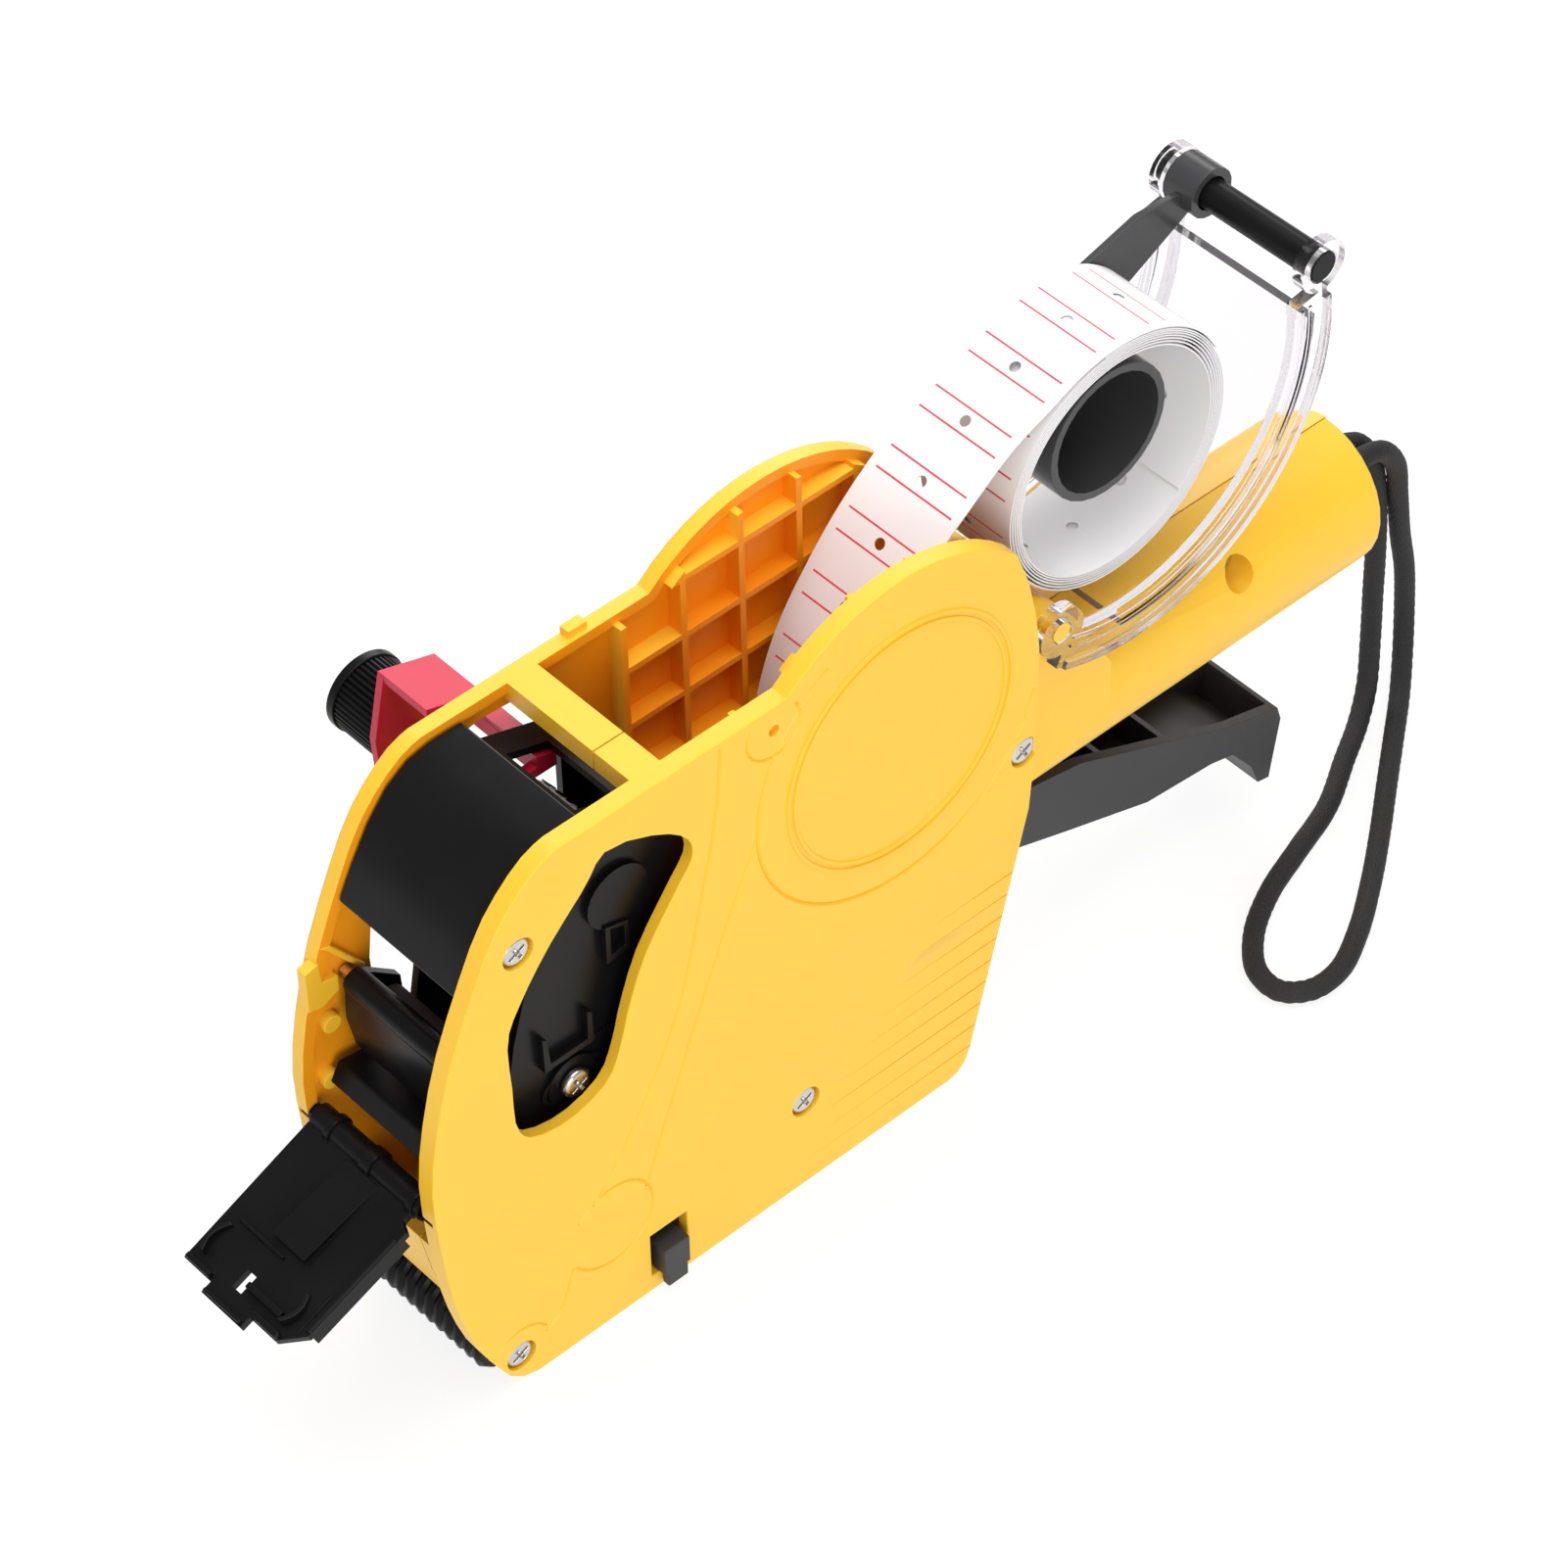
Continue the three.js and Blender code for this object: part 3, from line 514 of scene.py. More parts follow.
@dataclass(frozen=True)
class Finish:
    """A moulded, printed or plated surface: its colour, gloss and fine relief."""

    name: str
    slot: str
    colour: Colour
    roughness: float = 0.4
    colour_shift: float = 0.06
    rough_shift: float = 0.08
    grain: float = 900.0
    relief: float = 0.1
    metallic: float = 0.0
    specular: float = 0.5
    glow: float = 0.0
    clear: float = 0.0
    ior: float = 1.49

    def build(self) -> bpy.types.Material:
        """Make the material, or give the one already made."""
        known = bpy.data.materials.get(self.name)
        if known:
            return known
        material = bpy.data.materials.new(self.name)
        material.use_nodes = True
        tree = material.node_tree
        shader = tree.nodes["Principled BSDF"]
        shader.inputs["Metallic"].default_value = self.metallic
        shader.inputs["IOR"].default_value = self.ior
        shader.inputs["Specular IOR Level"].default_value = self.specular
        shader.inputs["Transmission Weight"].default_value = self.clear
        if self.glow:
            shader.inputs["Subsurface Weight"].default_value = self.glow
            shader.inputs["Subsurface Radius"].default_value = (0.004, 0.0016, 0.0004)
            shader.inputs["Subsurface Scale"].default_value = 0.6
        coordinates = tree.nodes.new("ShaderNodeTexCoord")
        broad = self.noise(tree, coordinates, 55.0, 3.0)
        fine = self.noise(tree, coordinates, self.grain, 2.0)
        self.paint(tree, shader, coordinates, broad)
        rough = tree.nodes.new("ShaderNodeMapRange")
        rough.inputs["To Min"].default_value = max(0.02, self.roughness - self.rough_shift)
        rough.inputs["To Max"].default_value = self.roughness + self.rough_shift
        tree.links.new(broad.outputs["Fac"], rough.inputs["Value"])
        tree.links.new(rough.outputs["Result"], shader.inputs["Roughness"])
        bump = tree.nodes.new("ShaderNodeBump")
        bump.inputs["Strength"].default_value = self.relief
        bump.inputs["Distance"].default_value = 0.1 * MM
        tree.links.new(self.height(tree, coordinates, fine), bump.inputs["Height"])
        tree.links.new(bump.outputs["Normal"], shader.inputs["Normal"])
        return material

    def noise(
        self, tree: bpy.types.NodeTree, coordinates: bpy.types.Node, scale: float, detail: float
    ) -> bpy.types.Node:
        """Add a noise texture on the piece's own coordinates.

        Args:
            tree: the material's nodes.
            coordinates: its texture coordinates.
            scale: how fine the noise is.
            detail: how many finer layers it has.

        Returns:
            The noise node.
        """
        node = tree.nodes.new("ShaderNodeTexNoise")
        node.inputs["Scale"].default_value = scale
        node.inputs["Detail"].default_value = detail
        tree.links.new(coordinates.outputs["Object"], node.inputs["Vector"])
        return node

    def paint(
        self, tree: bpy.types.NodeTree, shader: bpy.types.Node, coordinates: bpy.types.Node, broad: bpy.types.Node
    ) -> None:
        """Let the colour wander a little over the surface.

        Args:
            tree: the material's nodes.
            shader: its surface shader.
            coordinates: its texture coordinates.
            broad: its broad noise.
        """
        ramp = tree.nodes.new("ShaderNodeValToRGB")
        dark = [max(0.0, c * (1 - self.colour_shift)) for c in self.colour]
        light = [min(1.0, c * (1 + self.colour_shift)) for c in self.colour]
        ramp.color_ramp.elements[0].position = 0.3
        ramp.color_ramp.elements[0].color = (*dark, 1)
        ramp.color_ramp.elements[1].position = 0.7
        ramp.color_ramp.elements[1].color = (*light, 1)
        tree.links.new(broad.outputs["Fac"], ramp.inputs["Fac"])
        tree.links.new(ramp.outputs["Color"], shader.inputs["Base Color"])

    def height(
        self, tree: bpy.types.NodeTree, coordinates: bpy.types.Node, fine: bpy.types.Node
    ) -> bpy.types.NodeSocket:
        """The height that the surface's relief follows.

        Args:
            tree: the material's nodes.
            coordinates: its texture coordinates.
            fine: its fine noise.

        Returns:
            The socket that gives the height.
        """
        return fine.outputs["Fac"]


@dataclass(frozen=True)
class Braid(Finish):
    """A braided cord's finish: slanted yarns that pass over and under each other."""

    yarns: float = 8.0
    pitch: float = 0.0042

    def height(
        self, tree: bpy.types.NodeTree, coordinates: bpy.types.Node, fine: bpy.types.Node
    ) -> bpy.types.NodeSocket:
        """Two crossing sets of yarns on the cord's own map, along it and round it.

        Args:
            tree: the material's nodes.
            coordinates: its texture coordinates.
            fine: its fine noise.

        Returns:
            The socket that gives the height.
        """
        waves = []
        for turn in (1, -1):
            mapping = tree.nodes.new("ShaderNodeMapping")
            mapping.inputs["Rotation"].default_value = (0, 0, turn * math.radians(45))
            mapping.inputs["Scale"].default_value = (self.yarns, 1 / self.pitch, 1)
            tree.links.new(coordinates.outputs["UV"], mapping.inputs["Vector"])
            wave = tree.nodes.new("ShaderNodeTexWave")
            wave.inputs["Scale"].default_value = 1.0
            tree.links.new(mapping.outputs["Vector"], wave.inputs["Vector"])
            waves.append(wave)
        blend = tree.nodes.new("ShaderNodeMath")
        blend.operation = "MAXIMUM"
        for socket, wave in zip(blend.inputs, waves):
            tree.links.new(wave.outputs["Fac"], socket)
        return blend.outputs["Value"]


@dataclass(frozen=True)
class LabelPrint(Finish):
    """White label paper with pairs of red cut marks, on a map of (across, along) in metres."""

    line_colour: Colour = (0.72, 0.06, 0.1)
    pitch: float = 0.012
    apart: float = 0.0042
    line: float = 0.00035
    reach: float = 0.0088

    def paint(
        self, tree: bpy.types.NodeTree, shader: bpy.types.Node, coordinates: bpy.types.Node, broad: bpy.types.Node
    ) -> None:
        """Draw the cut marks over the paper's colour.

        Args:
            tree: the material's nodes.
            shader: its surface shader.
            coordinates: its texture coordinates.
            broad: its broad noise.
        """

        def math_node(operation: str, first: object, second: object = 0.0) -> bpy.types.NodeSocket:
            """Add a math node.

            Args:
                operation: Blender's name for what it does.
                first: its first value, as a number or a socket.
                second: its second value.

            Returns:
                The socket that gives the result.
            """
            node = tree.nodes.new("ShaderNodeMath")
            node.operation = operation
            for socket, value in zip(node.inputs, (first, second)):
                if isinstance(value, (int, float)):
                    socket.default_value = value
                else:
                    tree.links.new(value, socket)
            return node.outputs["Value"]

        split = tree.nodes.new("ShaderNodeSeparateXYZ")
        tree.links.new(coordinates.outputs["UV"], split.inputs["Vector"])
        place = math_node("MODULO", math_node("ADD", split.outputs["Y"], 10 * self.pitch), self.pitch)
        from_middle = math_node("ABSOLUTE", math_node("SUBTRACT", place, self.pitch / 2))
        from_line = math_node("ABSOLUTE", math_node("SUBTRACT", from_middle, self.apart / 2))
        on_line = math_node("LESS_THAN", from_line, self.line / 2)
        in_reach = math_node("LESS_THAN", math_node("ABSOLUTE", split.outputs["X"]), self.reach)
        mark = math_node("MULTIPLY", on_line, in_reach)
        mix = tree.nodes.new("ShaderNodeMix")
        mix.data_type = "RGBA"
        mix.inputs["A"].default_value = (*self.colour, 1)
        mix.inputs["B"].default_value = (*self.line_colour, 1)
        tree.links.new(mark, mix.inputs["Factor"])
        tree.links.new(mix.outputs["Result"], shader.inputs["Base Color"])


YELLOW = Finish(
    "warm_yellow_plastic", "yellow_plastic", (0.95, 0.55, 0.03), 0.42, 0.02, 0.05, 1500, 0.05, glow=0.12
)
# painted shade: a deeper orange for the case's inside faces, standing in for the shade and bounced light in the hollow
YELLOW_PAINTED_SHADE = Finish("yellow_plastic_painted_shade", "yellow_plastic", (1.0, 0.36, 0.006), 0.45, 0.02, 0.05, 1500, 0.05)
BLACK = Finish(
    "black_satin_plastic", "black_plastic", (0.0055, 0.0055, 0.006), 0.3, 0.2, 0.08, 1800, 0.08, specular=0.14
)
BLACK_GLOSS = Finish(
    "black_polished_plastic", "black_plastic", (0.006, 0.006, 0.0065), 0.2, 0.2, 0.04, 900, 0.03, specular=0.2
)
CHARCOAL = Finish(
    "charcoal_textured_plastic", "dark_grey_plastic", (0.028, 0.027, 0.03), 0.5, 0.15, 0.08, 2600, 0.3
)
CRIMSON = Finish(
    "crimson_plastic", "red_plastic", (0.6, 0.012, 0.05), 0.38, 0.05, 0.06, 1200, 0.05, specular=0.3
)
# painted shade: a greyer, less clear plastic for the cover's edges, standing in for the light that refraction turns
# away there
CLEAR_PAINTED_EDGE_SHADE = Finish(
    "clear_plastic_painted_edge_shade", "clear_plastic", (0.8, 0.765, 0.8), 0.12, 0.03, 0.04, 500, 0.03, clear=0.8, ior=1.2
)
CLEAR = Finish(
    "clear_polished_plastic", "clear_plastic", (0.955, 0.94, 0.96), 0.05, 0.01, 0.02, 300, 0.02,
    clear=1.0, ior=1.3,
)
WHITE = Finish("white_moulded_plastic", "white_plastic", (0.78, 0.77, 0.75), 0.35, 0.04, 0.06, 1200, 0.05)
HOLDER = Finish(
    "grey_black_plastic", "black_plastic", (0.045, 0.045, 0.047), 0.24, 0.1, 0.05, 900, 0.04, specular=0.35
)
STEEL = Finish("plated_steel", "steel", (0.62, 0.6, 0.57), 0.26, 0.1, 0.08, 2200, 0.12, metallic=1.0)
INK = Finish("ink_soaked_foam", "ink_rubber", (0.02, 0.012, 0.016), 0.8, 0.3, 0.1, 3000, 0.9)
LABELS = LabelPrint("printed_label_paper", "label_paper", (0.88, 0.87, 0.88), 0.6, 0.02, 0.06, 1600, 0.1)
CORD = Braid("braided_black_cord", "braided_cord", (0.014, 0.013, 0.014), 0.75, 0.25, 0.1, 2500, 0.9)


def dress(
    piece: bpy.types.Object, finish: Finish, body: str, replaces: Sequence[str] = ()
) -> bpy.types.Object:
    """Give a finished piece its finish, the body that it moves with and the CAD nodes it stands for.

    Args:
        piece: the mesh or curve object.
        finish: its surface.
        body: the CAD body's name.
        replaces: the CAD nodes that it stands for.

    Returns:
        The same object.
    """
    piece.data.materials.clear()
    piece.data.materials.append(finish.build())
    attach(piece, body)
    if replaces:
        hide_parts(*replaces)
    LOG.info("%s on %s", piece.name, body)
    return piece


# ---------------------------------------------------------------- studio


@dataclass
class Studio:
    """A pale floor, soft light from all round and one camera."""

    camera: Point3 = (-389.3, -474.8, 722.6)
    angles: Point3 = (44.21534, 0.97918, -42.15026)
    lens: float = 126.73
    sensor: float = 36.0
    clip: tuple[float, float] = (0.01, 20.0)
    floor_half: float = 3000.0
    floor_gap: float = 0.02
    floor_grey: float = 0.16
    floor_glow: float = 0.86
    sky: float = 0.42
    target: Point3 = (40.0, 0.0, 60.0)

    def build(self) -> None:
        """Set up the camera, the floor and the lights."""
        camera = bpy.data.cameras.new("camera")
        camera.lens = self.lens
        camera.sensor_width = self.sensor
        camera.clip_start, camera.clip_end = self.clip
        holder = bpy.data.objects.new("camera", camera)
        bpy.context.scene.collection.objects.link(holder)
        turned = Euler([math.radians(a) for a in self.angles]).to_matrix().to_4x4()
        holder.matrix_world = Matrix.Translation(Vector(self.camera) * MM) @ turned
        bpy.context.scene.camera = holder
        self.floor()
        self.lamp("overhead", (60, -60, 1100), 1000, 10)
        self.lamp("front_left", (-500, -900, 330), 600, 4.6)
        self.lamp("behind", (600, 700, 500), 600, 4)
        bpy.context.scene.view_settings.view_transform = "Standard"
        world = bpy.data.worlds.new("studio")
        bpy.context.scene.world = world
        world.use_nodes = True
        world.node_tree.nodes["Background"].inputs["Color"].default_value = (1, 1, 1, 1)
        world.node_tree.nodes["Background"].inputs["Strength"].default_value = self.sky

    def floor(self) -> None:
        """Lay the pale floor just under the gun."""
        deselect()
        bpy.ops.mesh.primitive_plane_add(size=2 * self.floor_half * MM, location=(0, 0, -self.floor_gap * MM))
        plane = named("floor")
        paint = bpy.data.materials.new("pale_floor")
        paint.use_nodes = True
        shader = paint.node_tree.nodes["Principled BSDF"]
        shader.inputs["Base Color"].default_value = (*[self.floor_grey] * 3, 1)
        shader.inputs["Emission Color"].default_value = (1, 1, 1, 1)
        shader.inputs["Emission Strength"].default_value = self.floor_glow
        shader.inputs["Roughness"].default_value = 0.9
        shader.inputs["Specular IOR Level"].default_value = 0.1
        plane.data.materials.append(paint)

    def lamp(self, name: str, at: Point3, size: float, power: float) -> None:
        """Hang a square soft box that faces the gun.

        Args:
            name: the lamp's name.
            at: its place.
            size: its side.
            power: its power in watts.
        """
        light = bpy.data.lights.new(name, "AREA")
        light.size = size * MM
        light.energy = power
        holder = bpy.data.objects.new(name, light)
        bpy.context.scene.collection.objects.link(holder)
        place = Vector(at) * MM
        aim = (Vector(self.target) * MM - place).to_track_quat("-Z", "Y")
        holder.matrix_world = Matrix.Translation(place) @ aim.to_matrix().to_4x4()


# ---------------------------------------------------------------- wrist cord


@dataclass
class WristCord:
    """The braided loop that hangs from the handle's end and lies on the surface."""

    r: float = 2.0
    sides: int = 16
    per_span: int = 14
    yarn_depth: float = 0.14
    yarn_length: float = 2.1
    route: tuple[Point3, ...] = (
        (153.5, 2.3, 64), (159, 2.4, 64.4), (164.5, 2.2, 62), (168, 1.6, 55.5), (169.3, 1, 46),
        (169.4, 0.4, 35), (169.2, 0, 24), (168.4, -1, 13), (165.6, -3.4, 5.2), (159.6, -7.2, 2.3),
        (151, -12, 2.1), (140, -18.2, 2.1), (128, -22.2, 2.1), (117, -26, 2.1), (107.6, -31.4, 2.1),
        (102, -37.8, 2.1), (101.6, -43.6, 2.1), (105.8, -47.2, 2.1), (112.6, -47.4, 2.1),
        (121.6, -43.4, 2.1), (132, -36.7, 2.1), (142, -29.4, 2.1), (151.8, -21.8, 2.1),
        (161.4, -14.4, 2.1), (170.4, -7.4, 2.5), (176.6, -2, 6.6), (178.6, 0.2, 14.5), (177.4, 0, 25),
        (174.8, -0.4, 36), (172.6, -1, 47), (170.2, -1.8, 56.5), (165.5, -2.3, 62.6),
        (159.5, -2.4, 64.4), (153.5, -2.3, 64),
    )

    def build(self) -> None:
        points = spline(self.route, self.per_span)
        side = Vector((0, 1, 0))
        sections: list[list[Point3]] = []
        run = 0.0
        runs = []
        for i, point in enumerate(points):
            along = (points[min(i + 1, len(points) - 1)] - points[max(i - 1, 0)]).normalized()
            side = (side - along * side.dot(along)).normalized()
            other = along.cross(side)
            if i:
                run += (point - points[i - 1]).length
            runs.append(run)
            sections.append([
                tuple(point + self.yarn_radius(run, j / self.sides)
                      * (side * math.cos(TAU * j / self.sides) + other * math.sin(TAU * j / self.sides)))
                for j in range(self.sides)
            ])
        piece = tube_of("wrist_cord_braid", sections)
        self.map_round(piece, runs)
        smooth(piece, 60)
        dress(piece, CORD, "housing", ["wrist_cord"])

    def yarn_radius(self, run: float, turn: float) -> float:
        """The cord's radius where the yarns bulge and dip.

        Args:
            run: the place along the cord.
            turn: the place round it, as a share of a turn.

        Returns:
            The radius there.
        """
        first = math.sin(math.pi * (run / self.yarn_length + 4 * turn))
        second = math.sin(math.pi * (run / self.yarn_length - 4 * turn))
        return self.r - self.yarn_depth + self.yarn_depth * max(abs(first), abs(second))

    def map_round(self, piece: bpy.types.Object, runs: Sequence[float]) -> None:
        """Lay a map on the braid, round it and along it in metres.

        Args:
            piece: the braid.
            runs: how far along the cord each section lies.
        """
        layer = piece.data.uv_layers.new(name="UVMap")
        for polygon in piece.data.polygons:
            corners = [piece.data.loops[i].vertex_index for i in polygon.loop_indices]
            turns = [v % self.sides for v in corners]
            wraps = max(turns) - min(turns) > self.sides / 2
            for loop, vertex, turn in zip(polygon.loop_indices, corners, turns):
                round_it = (turn + (self.sides if wraps and turn < self.sides / 2 else 0)) / self.sides
                layer.data[loop].uv = (round_it, runs[vertex // self.sides] * MM)


# ---------------------------------------------------------------- case


@dataclass
class CaseHalf:
    """One half of the yellow case, with its raised rings, style lines and grip steps."""

    side: Side
    half: float = 18.0
    face_round: float = 1.1
    inner_round: float = 0.25
    handle_end: float = 153.0
    screw_hole: Point = (8.0, 112.5)
    toe_boss: Point = (-50.5, 6.8)
    hump: Point = (35.0, 91.5)
    rings: tuple[float, ...] = (23.1, 24.5)
    outer_ring: float = 31.0
    grip_count: int = 9
    grip_pitch: float = 4.6
    grip_top: float = 42.5
    grip_height: float = 1.5
    grip_start: float = 41.5
    grip_lean: float = 4.3
    grip_end: float = 70.0
    grip_depth: float = 1.3
    screws: tuple[Point, ...] = ((-45, 100.5), (63, 69.5), (13, 20.5), (-50.5, 6.8))
    lines: tuple[tuple[Point, ...], ...] = (
        ((-3, 116.2), (-4.6, 101.5), (-8.5, 84), (-13, 66.5), (-19.5, 52), (-28, 38), (-33.5, 31)),
        ((4.2, 92), (-3.5, 75), (-12, 54), (-19, 36), (-22.3, 27.2)),
        ((-38.5, 19.6), (-41.5, 11.6), (-45, 8.6)),
    )

    def build(self) -> None:
        """Make this half from its CAD node."""
        node = self.side.name.lower() + "_shell"
        piece = copy_node(node, node + "_moulding")
        face = self.side.value * self.half

        def on_face(a: Vector, b: Vector) -> bool:
            """Whether an edge lies on the outer face, away from the screws."""
            near_screw = any((Vector((a.x, a.z)) - Vector(s)).length < 4 for s in self.screws)
            return abs(a.y - face) < 0.1 and abs(b.y - face) < 0.1 and not near_screw

        def at_end(a: Vector, b: Vector) -> bool:
            """Whether an edge lies at the handle's end, away from the seam."""
            reaches = abs(a.x - self.handle_end) < 0.1 and abs(b.x - self.handle_end) < 0.1
            return reaches and a.y * self.side.value > 2

        round_where(piece, self.face_round, 3, on_face)
        round_where(piece, 1.4, 3, at_end)
        self.engrave(piece, face)
        soften(piece, self.inner_round, 2, 34)
        dress(piece, YELLOW, "housing", [node])
        self.deepen(piece)

    def engrave(self, piece: bpy.types.Object, face: float) -> None:
        """Add the face's rings, lines and grip steps.

        Args:
            piece: the case half.
            face: where its outer face lies across the width.
        """
        beads = [bead_ring("ring", self.hump, r, 0.42, face) for r in self.rings]
        fuse(piece, *beads)
        tools = [groove("line", [tuple(p) for p in spline(line, 4)], 0.9, face) for line in self.lines]
        tools.append(groove("arc", circle_line(self.hump, self.outer_ring, 120, 345, 60), 0.9, face))
        tools.append(groove("boss", circle_line((-30, 23.5), 9, -150, 140, 32), 0.7, face))
        tools.append(groove("recess", circle_line(self.screw_hole, 5.6, 150, 395, 32), 0.7, face))
        tools.append(rod("hole", self.screw_hole, 1.1, face - 1.1, face + 1.1, 24))
        tools.append(groove("toe", circle_line(self.toe_boss, 6.4, 30, 215, 24), 0.6, face))
        cut(piece, *tools, *self.grips(face))

    def deepen(self, piece: bpy.types.Object) -> None:
        """Paint shade on the faces inside the half: they get a deeper orange that stands in for the shade and bounced
        light in its hollow.

        Args:
            piece: the finished half.
        """
        # painted shade: the faces that look into the hollow get the deeper orange in place of its shade and bounced
        # light
        piece.data.materials.append(YELLOW_PAINTED_SHADE.build())
        inward = -self.side.value
        for face in piece.data.polygons:
            middle, out = face.center, face.normal
            if abs(middle.y) > 16.15 * MM or middle.x > 60 * MM:
                continue
            hit, place, _, _ = piece.ray_cast(middle + out * 0.05 * MM, out, distance=16 * MM)
            faces_in = out.y * inward > 0.5 and abs(middle.y) > 11 * MM
            if faces_in or (hit and abs(place.y) < 16.2 * MM and abs(out.y) < 0.5):
                face.material_index = 1

    def grips(self, face: float) -> list[bpy.types.Object]:
        """Make the cutters for the steps at the rear of the face, each deepest at the rear edge.

        Args:
            face: where the outer face lies across the width.

        Returns:
            The cutters.
        """
        tools = []
        out = self.side.value
        end, depth = self.grip_end, self.grip_depth
        for i in range(self.grip_count):
            high = self.grip_top - i * self.grip_pitch
            low = high - self.grip_height
            start = self.grip_start - self.grip_lean * i
            front = [(start, face + out * 0.4, low), (start, face + out * 0.4, high), (start, face, high)]
            back = [(end, face + out * 2, low), (end, face + out * 2, high), (end, face - out * depth, high)]
            tools.append(tube_of("grip", [front, back]))
        return tools


# ---------------------------------------------------------------- plain mouldings


@dataclass(frozen=True)
class Moulding:
    """A part whose CAD shape is right and gets rounded edges and its finish."""

    node: str
    finish: Finish
    body: str
    width: float = 0.3
    segments: int = 2
    squeezed: float = 0.0

    def build(self) -> None:
        """Round the part's edges, dress it, and give it a mesh of its own if it is marked as squeezed."""
        piece = soften(copy_node(self.node, self.node + "_part"), self.width, self.segments)
        dress(piece, self.finish, self.body, [self.node])
        if self.squeezed:
            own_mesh(piece)


MOULDINGS = (
    Moulding("trigger_lever", CHARCOAL, "lever", 0.45, 3),
    Moulding("print_head_frame", BLACK, "lever", 0.3),
    Moulding("head_hood", BLACK_GLOSS, "lever", 0.5, 3),
    Moulding("selector_bracket", CRIMSON, "bracket", 0.3),
    Moulding("selector_shaft", STEEL, "knob", 0.3),
    Moulding("ink_holder", BLACK, "ink_frame", 0.3),
    Moulding("ink_roller", INK, "ink_roller_body", 0.3),
    Moulding("nose_guard", BLACK, "housing", 0.4),
    Moulding("flap_hinge_pin", BLACK, "housing", 0.3),
    Moulding("label_guide", BLACK, "housing", 0.3),
    Moulding("feed_wheel", BLACK, "feed", 0.2),
    Moulding("applicator_roller", BLACK, "applicator", 0.15),
    Moulding("base_catch", CHARCOAL, "catch", 0.4),
    Moulding("cover_bar", BLACK, "cover", 0.3),
    Moulding("roll_holder", HOLDER, "cover", 0.4),
    Moulding("lever_pivot_pin", STEEL, "housing", 0.2),
    Moulding("return_spring", STEEL, "housing", 0.05, squeezed=0.84),
    Moulding("lap_screw_near", STEEL, "lever", 0.2),
    Moulding("lap_screw_far", STEEL, "lever", 0.2),
    Moulding("case_screw_handle", STEEL, "housing", 0.2),
    Moulding("ink_holder_pin", STEEL, "housing", 0.2),
    Moulding("ink_roller_axle", STEEL, "ink_frame", 0.1),
    Moulding("feed_wheel_axle", STEEL, "housing", 0.2),
    Moulding("applicator_axle", STEEL, "housing", 0.2),
)


# ---------------------------------------------------------------- labels


